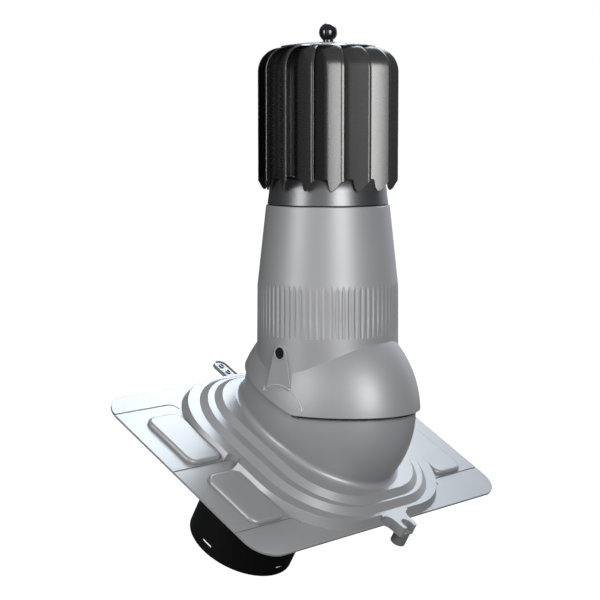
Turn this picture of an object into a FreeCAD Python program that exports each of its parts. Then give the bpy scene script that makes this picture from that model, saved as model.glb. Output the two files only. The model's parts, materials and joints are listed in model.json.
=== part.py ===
import FreeCAD, Part
import math
import os
import Sketcher

# Roof vent with a wind-driven turning head.
# The origin lies on the duct spigot's axis, in the plane of the plate's underside.
# X runs along the tilt axis, +Y points up the roof slope and Z is vertical.
# The plate lies at roof_pitch.

doc = FreeCAD.newDocument("RoofVent")
sheet = doc.addObject("Spreadsheet::Sheet", "Sizes")

SIZES = [
    ("roof_pitch", 29.4, "pitch of the roof that the plate lies on, degrees"),
    ("tilt_range", 15, "how far the cowl tilts each way from this pitch, degrees"),
    ("plate_width", 512, "plate across the slope"),
    ("plate_length", 332, "plate along the slope"),
    ("plate_thick", 3, "plate thickness"),
    ("plate_corner", 38, "plate corner radius"),
    ("wall", 3, "moulded wall"),
    ("ring_step_low", 12, "height of the outer ring over the plate"),
    ("ring_step", 7.5, "height of each further ring"),
    ("ring_out_x", 167, "outer ring, half width at its foot"),
    ("ring_out_y", 164.5, "outer ring, half length at its foot"),
    ("ring_mid_x", 144, "middle ring, half width at its foot"),
    ("ring_mid_y", 155, "middle ring, half length at its foot"),
    ("ring_in_x", 121, "inner ring, half width at its foot"),
    ("ring_in_y", 143, "inner ring, half length at its foot"),
    ("ring_out_corner", 110, "outer ring corner radius at its foot"),
    ("ring_mid_corner", 106, "middle ring corner radius at its foot"),
    ("ring_in_corner", 90, "inner ring corner radius at its foot"),
    ("ring_out_run", 5, "how far the outer ring's wall leans in"),
    ("ring_run", 9, "how far the other rings' walls lean in"),
    ("dome_shift", 3, "tilt axis up the slope from the plate's centre"),
    ("pivot_rise", 69.5, "tilt axis above the plate's underside"),
    ("dome_half", 99.5, "dome half width along the tilt axis"),
    ("dome_round", 130, "dome radius round the tilt axis"),
    ("dome_mouth", 44, "half angle of the dome's mouth, degrees"),
    ("dome_fillet", 7, "fillet at the foot of the dome"),
    ("pad_x", 193, "pads' centre across the slope"),
    ("pad_y", 62, "pads' centre along the slope"),
    ("pad_width", 60, "pad across the slope"),
    ("pad_length", 99, "pad along the slope"),
    ("pad_corner", 14, "pad corner radius"),
    ("pad_rise", 6, "pad height over the plate"),
    ("pad_round", 4, "rounding of the pad rim"),
    ("groove_upper_y", 134, "upper groove's place along the slope"),
    ("groove_middle_y", 10, "middle groove's place along the slope"),
    ("groove_lower_y", -113.5, "lower groove's place along the slope"),
    ("groove_end_x", 160, "inner end of the grooves"),
    ("groove_width", 1.8, "groove width"),
    ("groove_depth", 1.1, "groove depth"),
    ("groove_turn", 12, "radius of the groove's turned end"),
    ("notch_radius", 10, "round notch in the outer ring's wall"),
    ("lug_reach", 18.5, "front screw hole beyond the plate edge"),
    ("lug_radius", 15, "front lug's round end"),
    ("lug_floor", 4, "front lug's floor thickness"),
    ("lug_slot", 8, "half width of the front lug's slot"),
    ("lug_hole", 4.5, "front screw hole diameter"),
    ("lug_blend", 12, "concave radius from the plate's edge to the lug"),
    ("spacer_radius", 10.2, "spacer under the front lug"),
    ("spacer_length", 17, "spacer length"),
    ("hanger_width", 23, "rear hanger lug width"),
    ("hanger_reach", 40, "rear hanger lug beyond the plate edge"),
    ("hanger_thick", 4, "hanger lug thickness"),
    ("hanger_hole", 5, "hanger hole diameter"),
    ("hanger_pitch", 15, "distance between the hanger holes"),
    ("hanger_rim", 1.6, "height of the rims on the hanger"),
    ("duct_radius", 78.5, "duct spigot outer radius"),
    ("duct_wall", 2.5, "duct spigot wall"),
    ("duct_y", 39.7, "duct spigot's axis up the slope from the centre"),
    ("duct_drop", 195, "duct spigot's rim below the plate's underside"),
    ("duct_slot_long", 19, "length of the slots in the spigot"),
    ("duct_slot_high", 3.6, "height of the slots in the spigot"),
    ("duct_slot_up", 13.2, "slots above the spigot's rim"),
    ("duct_slots", 4, "number of slots in the spigot"),
    ("flange_thick", 3, "spigot flange thickness"),
    ("seal_thick", 2, "flange seal thickness"),
    ("flange_gap", 1.5, "flange inside the inner ring"),
    ("flange_boss", 8, "diameter of the bosses that take the flange screws"),
    ("flange_boss_corner", 33.5, "corner bosses in from the flange's sides"),
    ("flange_boss_side", 6, "side bosses in from the flange's side"),
    ("seal_width", 13, "least width of the flange seal"),
    ("flange_screw", 4, "flange screw diameter"),
    ("flange_head", 11, "flange screw head diameter"),
    ("flange_head_high", 2.6, "flange screw head height"),
    ("skirt_half", 105, "skirt half width along the tilt axis"),
    ("skirt_round", 136.5, "skirt radius round the tilt axis"),
    ("skirt_hem", 4.3, "skirt's hem above the tilt axis, down the slope"),
    ("skirt_rise", 22.6, "slope of the hem on the upper side, degrees"),
    ("skirt_hem_y", -25.4, "where the hem starts to rise"),
    ("skirt_hem_round", 28, "radius where the hem starts to rise"),
    ("casing_radius", 95, "casing radius at the fluted band's top"),
    ("casing_foot", 95.9, "casing radius at its foot"),
    ("casing_low", 50, "foot of the casing's straight part above the tilt axis"),
    ("cone_low", 166.5, "foot of the cone above the tilt axis"),
    ("rim_high", 275, "casing rim above the tilt axis"),
    ("rim_radius", 83.1, "casing rim radius"),
    ("rim_round", 1.5, "rounding of the casing rim"),
    ("rim_lip", 5, "height of the spider's lip inside the collar"),
    ("rim_lip_gap", 1.6, "gap between that lip and the collar"),
    ("flute_count", 72, "number of flutes"),
    ("flute_low", 104, "lower end of the flutes above the tilt axis"),
    ("flute_depth", 0.8, "flute depth"),
    ("flute_round", 5, "flute cutter radius"),
    ("flute_tip", 25, "length of the flute cutter's tip"),
    ("flute_over", 12, "flute cutter above the cone's foot"),
    ("lock_high", 83.5, "lock screws above the tilt axis"),
    ("lock_boss", 10, "radius of the lock screw bosses"),
    ("lock_screw", 6, "lock screw diameter"),
    ("lock_head", 9, "lock screw head diameter"),
    ("lock_head_high", 4, "lock screw head height"),
    ("lock_recess", 9, "depth of the lock screw recess"),
    ("lock_thread", 14, "lock screw past the dome's wall"),
    ("shoe_wide", 22, "clamp shoe width"),
    ("shoe_high", 16, "clamp shoe height"),
    ("shoe_thick", 10, "clamp shoe thickness"),
    ("plug_radius", 7.6, "plug radius"),
    ("plug_rim", 9.8, "raised rim round the plug, outer radius"),
    ("plug_rim_rise", 0.7, "height of that rim"),
    ("tab_top", 10.4, "round top of the flat tab, radius"),
    ("tab_lean", 13, "lean of the tab's sides, degrees"),
    ("tab_half", 20.3, "half width of the flat tab at its foot"),
    ("tab_wide_high", 42, "where the tab reaches its full width"),
    ("tab_low", 36, "foot of the tab above the tilt axis"),
    ("tab_face_top", 97.4, "tab face from the stack's axis at its top"),
    ("tab_face_low", 101, "tab face from the stack's axis at its foot"),
    ("fit", 0.3, "clearance between seated pieces"),
    ("run_fit", 0.05, "radial clearance of a running fit"),
    ("dome_gap", 0.5, "clearance between the bosses and the dome"),
    ("ledge_at", 246, "ledge for the bearing spider above the tilt axis"),
    ("ledge_thick", 3, "ledge thickness"),
    ("ledge_width", 17, "width of the ledge inside the neck"),
    ("spider_wall", 2.5, "wall of the spider's ring"),
    ("spider_flange", 4, "thickness of the spider's foot flange"),
    ("spider_arms", 3, "number of arms of the spider"),
    ("spider_arm", 6, "width of an arm"),
    ("spider_high", 12, "height of the arms and the hub"),
    ("spider_hub", 13, "radius of the spider's hub"),
    ("spider_screw", 3, "spider screw diameter"),
    ("spider_screw_head", 5.4, "spider screw head diameter"),
    ("spider_screw_long", 6.5, "spider screw length under its head"),
    ("spindle_radius", 5, "spindle radius"),
    ("spindle_step", 7.5, "radius of the spindle's thick part"),
    ("nut_high", 8, "spindle nut height"),
    ("nut_flats", 17, "spindle nut across flats"),
    ("bearing_radius", 13, "bearing outer radius"),
    ("bearing_high", 8, "bearing height"),
    ("bearing_dish", 0.6, "depth of the dished seal of a bearing"),
    ("lower_bearing_at", 290, "underside of the lower bearing"),
    ("upper_bearing_at", 452, "underside of the upper bearing"),
    ("clip_thick", 1.2, "retaining ring thickness"),
    ("clip_radius", 8, "retaining ring outer radius"),
    ("hub_wall", 2, "wall of the rotor's hub tube"),
    ("hub_foot", 8, "hub tube below the lower bearing"),
    ("hub_shoulder", 11, "inner radius of the shoulder over the upper bearing"),
    ("hub_play", 0.2, "end play of the rotor on its bearings"),
    ("hub_room", 6.5, "room over the upper bearing for the ring and the spindle's end"),
    ("hub_flange", 32, "radius of the hub's top flange"),
    ("stud_long", 12, "length of the ball knob's stud in the hub"),
    ("spoke_count", 3, "number of the rotor's lower spokes"),
    ("spoke_thick", 2, "thickness of the lower spokes"),
    ("spoke_width", 12, "width of the lower spokes"),
    ("spoke_tab", 9, "height of the tabs at the spokes' ends"),
    ("spoke_hub", 23, "radius of the lower spokes' centre"),
    ("spoke_up", 7, "lower spokes above the collar's foot"),
    ("collar_gap", 1.5, "running gap between the casing rim and the collar"),
    ("collar_foot", 81.2, "collar outer radius at its foot"),
    ("collar_waist", 79.2, "collar outer radius where it starts to curve in"),
    ("collar_waist_at", 15, "height of the collar's straight part"),
    ("collar_top", 73, "collar outer radius at its top"),
    ("collar_high", 34, "collar height"),
    ("collar_lip", 66, "inner radius of the collar's top flange"),
    ("sheet_metal", 1, "thickness of the collar and cap sheet"),
    ("blade_count", 15, "number of blades"),
    ("blade_thick", 0.9, "thickness of the blade sheet"),
    ("blade_outer", 94, "radius of the blades' outer lips"),
    ("blade_inner", 72.2, "radius of the blades' inner edges"),
    ("blade_sweep", 26, "angle from a blade's lip to its inner edge, degrees"),
    ("blade_lip", 3.6, "width of the folded lip"),
    ("blade_lip_in", 0.3, "how far the fold lies inside the lip's free edge"),
    ("blade_fold", 0.9, "how far the fold's rounding reaches each way"),
    ("blade_angle", 16.5, "first lip round the stack's axis from the tilt axis, degrees"),
    ("blade_bow", 0.9, "how far the blade's panel bows out"),
    ("blade_tip_radius", 84, "radius of the pointed foot of a blade"),
    ("blade_tip_drop", 15.3, "pointed foot below the collar's top"),
    ("blade_lip_drop", 2.5, "foot of the lip below the collar's top"),
    ("blade_under", 62, "radius of a blade's outer edge under the cap"),
    ("shoulder_at", 451.5, "where the blades start to curve over"),
    ("shoulder_round", 32, "radius of the blades' shoulder"),
    ("blade_gap", 0.1, "blades from the collar and the cap"),
    ("blade_notch", 80.7, "radius where a blade steps over the collar"),
    ("cap_radius", 62.8, "cap radius"),
    ("cap_edge", 1.8, "thickness of the cap's edge"),
    ("cap_flat", 46, "inner radius of the flat seat under the cap"),
    ("cap_crown", 5.6, "rise of the cap from its edge to its centre"),
    ("ball_radius", 12.2, "ball knob radius"),
    ("ball_at", 12.8, "ball's centre above the cap's crown"),
    ("ball_neck", 7, "ball knob's neck radius"),
    ("ball_stud", 4, "ball knob's stud radius"),
]
for row, (alias, value, note) in enumerate(SIZES, 1):
    sheet.set("A%d" % row, note)
    sheet.set("B%d" % row, str(value))
    sheet.setAlias("B%d" % row, alias)
doc.recompute()


class Size:
    """A length or angle that keeps the expression that works it out."""

    def __init__(self, value, text):
        self.value = float(value)
        self.text = text

    def __add__(self, other):
        return joined(self, "+", other)

    def __radd__(self, other):
        return joined(other, "+", self)

    def __sub__(self, other):
        return joined(self, "-", other)

    def __rsub__(self, other):
        return joined(other, "-", self)

    def __mul__(self, other):
        return joined(self, "*", other)

    def __rmul__(self, other):
        return joined(other, "*", self)

    def __truediv__(self, other):
        return joined(self, "/", other)

    def __rtruediv__(self, other):
        return joined(other, "/", self)

    def __neg__(self):
        return joined(-1, "*", self)


def as_size(number):
    """Plain numbers become sizes too."""
    if isinstance(number, Size):
        return number
    return Size(number, "%.9g" % number)


def joined(first, sign, second):
    """Two sizes joined by an arithmetic sign, as a value and as an expression."""
    a = as_size(first)
    b = as_size(second)
    results = {"+": a.value + b.value, "-": a.value - b.value, "*": a.value * b.value}
    value = a.value / b.value if sign == "/" else results[sign]
    return Size(value, "(%s %s %s)" % (a.text, sign, b.text))


def root(size):
    return Size(math.sqrt(size.value), "sqrt(%s)" % size.text)


def sine(size):
    return Size(math.sin(math.radians(size.value)), "sin(%s * 1 deg)" % size.text)


def cosine(size):
    return Size(math.cos(math.radians(size.value)), "cos(%s * 1 deg)" % size.text)


def arc_sine(size):
    return Size(math.degrees(math.asin(size.value)), "(asin(%s) / 1 deg)" % size.text)


def cell(alias):
    """The driving dimension in the sheet."""
    return Size(float(sheet.get(alias)), "Sizes." + alias)


def bind(thing, name, size):
    """Bind a property to its expression."""
    thing.setExpression(name, as_size(size).text)


def new_body(name):
    body = doc.addObject("PartDesign::Body", name)
    body.Label = name
    return body


def plane_of(body, role):
    """One of the body's own origin planes or axes."""
    for feature in body.Origin.OriginFeatures:
        if feature.Role == role:
            return feature
    raise RuntimeError("no " + role)


def new_sketch(body, name, role="XY_Plane", offset=0):
    """A sketch on an origin plane of the body, moved along the plane's normal."""
    sketch = body.newObject("Sketcher::SketchObject", name)
    sketch.AttachmentSupport = [(plane_of(body, role), "")]
    sketch.MapMode = "FlatFace"
    bind(sketch, "AttachmentOffset.Base.z", offset)
    return sketch


def fix_point(sketch, geometry, end, x, y):
    """Bind an end of an edge, or a circle's centre, to its two coordinates."""
    for kind, value in (("DistanceX", as_size(x)), ("DistanceY", as_size(y))):
        index = sketch.addConstraint(Sketcher.Constraint(kind, -1, 1, geometry, end, value.value))
        sketch.setExpression("Constraints[%d]" % index, value.text)


def arc_between(start, end, radius):
    """The minor arc from start to end; a positive radius bows to the right of the way."""
    chord = end - start
    half = chord.Length / 2
    reach = math.sqrt(max(radius * radius - half * half, 0))
    left = FreeCAD.Vector(-chord.y, chord.x, 0).normalize()
    side = 1 if radius > 0 else -1
    centre = (start + end) / 2 + left * reach * side
    middle = centre - left * abs(radius) * side
    return Part.Arc(start, middle, end)


def outline(sketch, corners):
    """A closed outline. Each corner is (x, y) or (x, y, radius of the arc that leaves it)."""
    points = [FreeCAD.Vector(as_size(c[0]).value, as_size(c[1]).value, 0) for c in corners]
    edges = []
    for index, corner in enumerate(corners):
        start = points[index]
        end = points[(index + 1) % len(points)]
        if len(corner) > 2:
            edge = sketch.addGeometry(arc_between(start, end, corner[2].value))
        else:
            edge = sketch.addGeometry(Part.LineSegment(start, end))
        edges.append(edge)
    for index, corner in enumerate(corners):
        before = edges[index - 1]
        start, end = (2, 1) if is_arc_reversed(sketch, edges[index], points[index]) else (1, 2)
        last = 1 if is_arc_reversed(sketch, before, points[index - 1]) else 2
        sketch.addConstraint(Sketcher.Constraint("Coincident", before, last, edges[index], start))
        fix_point(sketch, edges[index], start, corner[0], corner[1])
        if len(corner) > 2:
            shape_arc(sketch, edges[index], corner, corners[(index + 1) % len(corners)])
    return sketch


def shape_arc(sketch, edge, corner, following):
    """Bind an arc's radius, or for a half circle the place of its centre."""
    radius = corner[2] * (1 if corner[2].value > 0 else -1)
    run = as_size(following[0]) - corner[0]
    rise = as_size(following[1]) - corner[1]
    if math.hypot(run.value, rise.value) < 2 * radius.value - 1e-6:
        number = sketch.addConstraint(Sketcher.Constraint("Radius", edge, radius.value))
        sketch.setExpression("Constraints[%d]" % number, radius.text)
        return
    if abs(run.value) > abs(rise.value):
        kind, middle = "DistanceY", corner[1] + rise / 2
    else:
        kind, middle = "DistanceX", corner[0] + run / 2
    number = sketch.addConstraint(Sketcher.Constraint(kind, -1, 1, edge, 3, middle.value))
    sketch.setExpression("Constraints[%d]" % number, middle.text)


def is_arc_reversed(sketch, edge, start):
    """Arcs are kept anticlockwise, so their first end may be the outline's second."""
    return (sketch.getPoint(edge, 1) - start).Length > 1e-6


def circle(sketch, x, y, radius):
    index = sketch.addGeometry(Part.Circle(FreeCAD.Vector(as_size(x).value, as_size(y).value, 0),
                                           FreeCAD.Vector(0, 0, 1), as_size(radius).value))
    number = sketch.addConstraint(Sketcher.Constraint("Radius", index, as_size(radius).value))
    sketch.setExpression("Constraints[%d]" % number, as_size(radius).text)
    fix_point(sketch, index, 3, x, y)
    return sketch


def rounded_box(sketch, half_x, half_y, radius, centre_x=0, centre_y=0):
    """A rectangle with round corners."""
    x0 = centre_x - half_x
    x1 = centre_x + half_x
    y0 = centre_y - half_y
    y1 = centre_y + half_y
    return outline(sketch, [
        (x0 + radius, y0), (x1 - radius, y0, radius),
        (x1, y0 + radius), (x1, y1 - radius, radius),
        (x1 - radius, y1), (x0 + radius, y1, radius),
        (x0, y1 - radius), (x0, y0 + radius, radius)])


def pad(body, sketch, length, name, symmetric=False, backwards=False):
    feature = body.newObject("PartDesign::Pad", name)
    feature.Profile = sketch
    bind(feature, "Length", length)
    feature.SideType = 2 if symmetric else 0
    feature.Reversed = backwards
    settle(feature)
    return feature


def pocket(body, sketch, length, name, symmetric=False, backwards=False):
    """A pocket that has to take material away."""
    before = body.Shape.copy()
    feature = body.newObject("PartDesign::Pocket", name)
    feature.Profile = sketch
    bind(feature, "Length", length)
    feature.SideType = 2 if symmetric else 0
    feature.Reversed = backwards
    settle(feature)
    check_cut(body, before, name)
    return feature


def settle(feature):
    """Recompute, and stop if the feature can't be made."""
    doc.recompute()
    if not feature.isValid():
        raise RuntimeError(feature.Name + " failed")


def check_cut(body, before, name):
    """A cut shows in the solid's faces or in its volume."""
    if len(body.Shape.Faces) == len(before.Faces) and body.Shape.Volume > before.Volume - 1e-3:
        raise RuntimeError(name + " cuts nothing")


def revolve(body, sketch, name, kind="PartDesign::Revolution", axis="V_Axis"):
    """A full turn of the sketch about one of its own axes."""
    before = body.Shape.copy()
    feature = body.newObject(kind, name)
    feature.Profile = sketch
    feature.ReferenceAxis = (sketch, [axis])
    feature.Angle = 360
    settle(feature)
    if kind == "PartDesign::Groove":
        check_cut(body, before, name)
    return feature


def loft(body, sketches, name, kind="PartDesign::AdditiveLoft"):
    before = body.Shape.copy()
    feature = body.newObject(kind, name)
    feature.Profile = sketches[0]
    feature.Sections = sketches[1:]
    feature.Ruled = True
    settle(feature)
    if kind == "PartDesign::SubtractiveLoft":
        check_cut(body, before, name)
    return feature


def ring_of(body, feature, count, name):
    """The feature repeated evenly round the body's Z axis."""
    pattern = body.newObject("PartDesign::PolarPattern", name)
    pattern.Originals = [feature]
    pattern.Axis = (plane_of(body, "Z_Axis"), [""])
    pattern.Angle = 360
    bind(pattern, "Occurrences", count)
    body.Tip = pattern
    settle(pattern)
    return pattern


def ellipsoid(body, name, half, around, y, z, low, high, kind="PartDesign::AdditiveEllipsoid"):
    """A body of revolution about the tilt axis, cut flat at two heights off its middle."""
    before = body.Shape.copy()
    feature = body.newObject(kind, name)
    bind(feature, "Radius1", around)
    bind(feature, "Radius2", half)
    bind(feature, "Radius3", around)
    bind(feature, "Angle1", arc_sine(as_size(low) / around))
    bind(feature, "Angle2", arc_sine(as_size(high) / around))
    bind(feature, "Placement.Base.y", y)
    bind(feature, "Placement.Base.z", z)
    settle(feature)
    if kind == "PartDesign::SubtractiveEllipsoid":
        check_cut(body, before, name)
    return feature


def fillet(body, feature, edges, radius, name):
    """Round the named edges of the last feature."""
    if not edges:
        raise RuntimeError(name + " finds no edge")
    rounding = body.newObject("PartDesign::Fillet", name)
    rounding.Base = (feature, edges)
    bind(rounding, "Radius", radius)
    settle(rounding)
    return rounding


def edges_where(feature, test):
    """Names of the edges that pass the test."""
    return ["Edge%d" % number for number, edge in enumerate(feature.Shape.Edges, 1) if test(edge)]


roof_pitch = cell("roof_pitch")
wall = cell("wall")
fit = cell("fit")
plate_thick = cell("plate_thick")
half_width = cell("plate_width") / 2
half_length = cell("plate_length") / 2
pivot_y = cell("dome_shift")
pivot_z = cell("pivot_rise")
lock_high = cell("lock_high")
ring_low_top = plate_thick + cell("ring_step_low")
ring_mid_top = ring_low_top + cell("ring_step")
ring_in_top = ring_mid_top + cell("ring_step")
RINGS = [
    ("outer", plate_thick, ring_low_top, cell("ring_out_run")),
    ("middle", ring_low_top, ring_mid_top, cell("ring_run")),
    ("inner", ring_mid_top, ring_in_top, cell("ring_run")),
]
RING_CELLS = {"outer": "ring_out", "middle": "ring_mid", "inner": "ring_in"}


seat_top = ring_in_top - wall
flange_top = seat_top - cell("seal_thick")
flange_low = flange_top - cell("flange_thick")
screw_reach = seat_top + wall / 2 - flange_low - fit
flange_x = cell("ring_in_x") - cell("ring_run") - wall / 2 - cell("flange_gap")
flange_y = cell("ring_in_y") - cell("ring_run") - wall / 2 - cell("flange_gap")
flange_corner = cell("ring_in_corner") - cell("ring_run") - wall / 2 - cell("flange_gap")
lug_hole_y = -(half_length + cell("lug_reach"))
duct_y = cell("duct_y")
axis_y = cosine(roof_pitch) * (pivot_y - duct_y) - sine(roof_pitch) * pivot_z
axis_z = sine(roof_pitch) * (pivot_y - duct_y) + cosine(roof_pitch) * pivot_z


def ring_half(name, letter):
    return cell("%s_%s" % (RING_CELLS[name], letter))


def ring_outline(body, name, label, height, lean):
    """The outline of a ring's wall, brought in by lean from its foot."""
    sketch = new_sketch(body, label, offset=height)
    return rounded_box(sketch, ring_half(name, "x") - lean, ring_half(name, "y") - lean,
                       ring_half(name, "corner") - lean)


def on_roof(body, up=0):
    """Lay a body on the roof slope, with its own origin up the slope from the plate's centre."""
    y = up - duct_y
    body.Placement = FreeCAD.Placement(FreeCAD.Vector(), FreeCAD.Rotation(FreeCAD.Vector(1, 0, 0), 1))
    bind(body, "Placement.Rotation.Angle", roof_pitch)
    bind(body, "Placement.Base.y", cosine(roof_pitch) * y)
    bind(body, "Placement.Base.z", sine(roof_pitch) * y)


def on_pivot(thing, x=0, y=0, z=0):
    """Stand a thing upright with its own origin at a place off the tilt axis."""
    bind(thing, "Placement.Base.x", x)
    bind(thing, "Placement.Base.y", axis_y + y)
    bind(thing, "Placement.Base.z", axis_z + z)


def add_plate_pads(body):
    """Four raised pads, hollow under the plate."""
    pads = new_sketch(body, "pads_outline", offset=plate_thick)
    hollows = new_sketch(body, "pads_hollow")
    for side in (-1, 1):
        for end in (-1, 1):
            rounded_box(pads, cell("pad_width") / 2, cell("pad_length") / 2, cell("pad_corner"),
                        cell("pad_x") * side, cell("pad_y") * end)
            rounded_box(hollows, cell("pad_width") / 2 - wall, cell("pad_length") / 2 - wall,
                        cell("pad_corner") - wall, cell("pad_x") * side, cell("pad_y") * end)
    raised = pad(body, pads, cell("pad_rise"), "pads")
    top = (plate_thick + cell("pad_rise")).value
    rims = edges_where(raised, lambda edge: edge.BoundBox.ZMin > top - 1e-4)
    fillet(body, raised, rims, cell("pad_round"), "pads_rim")
    pocket(body, hollows, cell("pad_rise"), "pads_hollowed", backwards=True)


def add_grooves(body):
    """Thin marking grooves from the side edges, the outer ones turned down the slope at their ends."""
    sketch = new_sketch(body, "grooves", offset=plate_thick)
    half = cell("groove_width") / 2
    turn = cell("groove_turn")
    beyond = half_width + half
    end = cell("groove_end_x")
    notch = cell("ring_out_x") - cell("ring_out_run")
    middle = cell("groove_middle_y")
    for side in (-1, 1):
        for y in (cell("groove_upper_y"), cell("groove_lower_y")):
            outline(sketch, [
                (beyond * side, y + half), (end * side, y + half, (turn + half) * side),
                ((end - turn - half) * side, y - turn), ((end - turn + half) * side, y - turn,
                                                         (turn - half) * -side),
                (end * side, y - half), (beyond * side, y - half)])
        outline(sketch, [(beyond * side, middle + half), (notch * side, middle + half),
                         (notch * side, middle - half), (beyond * side, middle - half)])
    pocket(body, sketch, cell("groove_depth"), "grooves_cut")


def add_rings(body):
    """Three stepped rings as solid terraces."""
    for name, foot, top, lean in RINGS:
        loft(body, [ring_outline(body, name, name + "_foot", foot, 0),
                    ring_outline(body, name, name + "_top", top, lean)], name + "_ring")


def hollow_rings(body):
    """The same terraces one wall lower, taken out from below."""
    for name, foot, top, lean in RINGS:
        loft(body, [ring_outline(body, name, name + "_hollow_foot", foot - wall, wall / 2),
                    ring_outline(body, name, name + "_hollow_top", top - wall, lean + wall / 2)],
             name + "_hollow", kind="PartDesign::SubtractiveLoft")


def add_notches(body):
    """A round notch in each side of the outer ring, with a wall of its own behind it."""
    centre = cell("ring_out_x") - cell("ring_out_run")
    backing = cell("notch_radius") + wall
    walls = new_sketch(body, "notch_walls")
    floors = new_sketch(body, "notch_floors")
    notches = new_sketch(body, "notches", offset=ring_low_top)
    for side in (-1, 1):
        outline(walls, [(centre * side, -backing), (centre * side, backing, backing * side)])
        circle(notches, centre * side, 0, cell("notch_radius"))
        circle(floors, centre * side, 0, backing)
    pad(body, walls, ring_low_top, "notch_backing")
    pad(body, floors, plate_thick, "notch_floor")
    pocket(body, notches, cell("ring_step_low"), "notches_cut")


def add_front_lug(body):
    """The ear for the fixing screw below the plate's lower edge, with a slot for the driver."""
    half = cell("lug_radius")
    hole_y = lug_hole_y
    tip = hole_y - cell("lug_slot")
    blend = cell("lug_blend")
    edge = -(half_length - wall)
    corner = cell("lug_slot") / 2
    ear = new_sketch(body, "lug_outline")
    outline(ear, [
        (-half - blend, edge, -blend), (-half, edge - blend), (-half, tip + corner, corner),
        (corner - half, tip), (half - corner, tip, corner), (half, tip + corner),
        (half, edge - blend, -blend), (half + blend, edge), (half + blend, edge + blend),
        (-half - blend, edge + blend)])
    pad(body, ear, ring_low_top, "lug")
    slot = new_sketch(body, "lug_slot", offset=ring_low_top)
    width = cell("lug_slot")
    outline(slot, [(width, hole_y, width), (-width, hole_y), (-width, tip - width), (width, tip - width)])
    pocket(body, slot, ring_low_top - cell("lug_floor"), "lug_slot_cut")
    hole = new_sketch(body, "lug_hole", offset=ring_low_top)
    circle(hole, 0, hole_y, cell("lug_hole") / 2)
    pocket(body, hole, ring_low_top + wall, "lug_hole_cut")


def add_hanger(body):
    """The rear hanger lug with two rimmed holes and a raised rim."""
    half = cell("hanger_width") / 2
    tip = half_length + cell("hanger_reach") - half
    thick = cell("hanger_thick")
    rim = cell("hanger_rim")
    root_y = half_length - half
    bar = new_sketch(body, "hanger_outline")
    outline(bar, [(-half, root_y), (half, root_y), (half, tip, half), (-half, tip)])
    pad(body, bar, thick, "hanger")
    lines = new_sketch(body, "hanger_rims", offset=thick)
    inner = half - rim
    outline(lines, [(-half, half_length), (half, half_length), (half, tip, half), (-half, tip)])
    outline(lines, [(-inner, half_length + rim), (inner, half_length + rim), (inner, tip, inner),
                    (-inner, tip)])
    holes = new_sketch(body, "hanger_holes", offset=thick + rim)
    for y in (tip, tip - cell("hanger_pitch")):
        circle(lines, 0, y, cell("hanger_hole") / 2 + rim)
        circle(lines, 0, y, cell("hanger_hole") / 2)
        circle(holes, 0, y, cell("hanger_hole") / 2)
    pad(body, lines, rim, "hanger_rim")
    pocket(body, holes, thick + rim, "hanger_holes_cut")


def flange_places():
    """Where the flange screws stand, four in the corners and two at the sides."""
    corner_x = flange_x - cell("flange_boss_corner")
    corner_y = flange_y - cell("flange_boss_corner")
    side_x = flange_x - cell("flange_boss_side")
    corners = [(corner_x * a, corner_y * b) for a in (-1, 1) for b in (-1, 1)]
    return corners + [(side_x * a, as_size(0)) for a in (-1, 1)]


def add_flange_bosses(body):
    """Bosses under the inner ring that pass through the seal and the flange."""
    bosses = new_sketch(body, "flange_bosses", offset=seat_top)
    bores = new_sketch(body, "flange_bores", offset=flange_low + fit)
    for x, y in flange_places():
        circle(bosses, x, y, cell("flange_boss") / 2)
        circle(bores, x, y, cell("flange_screw") / 2 + cell("run_fit"))
    pad(body, bosses, seat_top - flange_low - fit, "flange_bosses_pad", backwards=True)
    pocket(body, bores, screw_reach, "flange_bores_cut", backwards=True)


def arc_slot(sketch, centre_x, centre_y, radius, half, start, end):
    """A slot bent round a centre, between two angles taken from the sketch's vertical."""
    outer = radius + half
    inner = radius - half

    def at(reach, angle):
        return centre_x + reach * sine(angle), centre_y + reach * cosine(angle)

    outline(sketch, [at(outer, start) + (-outer,), at(outer, end) + (-half,),
                     at(inner, end) + (inner,), at(inner, start) + (-half,)])


def make_base_plate():
    body = new_body("base_plate")
    around = cell("dome_round")
    across = cell("dome_half")
    pad(body, rounded_box(new_sketch(body, "plate_outline"), half_width, half_length,
                          cell("plate_corner")), plate_thick, "plate")
    add_plate_pads(body)
    add_rings(body)
    add_front_lug(body)
    add_hanger(body)
    dome = ellipsoid(body, "dome", across, around, pivot_y, pivot_z,
                     ring_in_top - wall / 2 - pivot_z, around * cosine(cell("dome_mouth")))
    middle = FreeCAD.Vector(0, pivot_y.value, ring_in_top.value)
    foot = edges_where(dome, lambda edge: (edge.BoundBox.Center - middle).Length < wall.value / 2)
    fillet(body, dome, foot, cell("dome_fillet"), "dome_foot")
    hollow_rings(body)
    ellipsoid(body, "dome_hollow", across - wall, around - wall, pivot_y, pivot_z,
              ring_in_top - wall - pivot_z, around - wall, kind="PartDesign::SubtractiveEllipsoid")
    add_flange_bosses(body)
    add_notches(body)
    add_grooves(body)
    slots = new_sketch(body, "lock_slots", "YZ_Plane")
    margin = cell("lock_screw") / 2 + fit
    arc_slot(slots, pivot_y, pivot_z, lock_high, margin,
             roof_pitch - cell("tilt_range"), roof_pitch + cell("tilt_range"))
    pocket(body, slots, across * 2, "lock_slots_cut", symmetric=True)
    on_roof(body)
    return body


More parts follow.
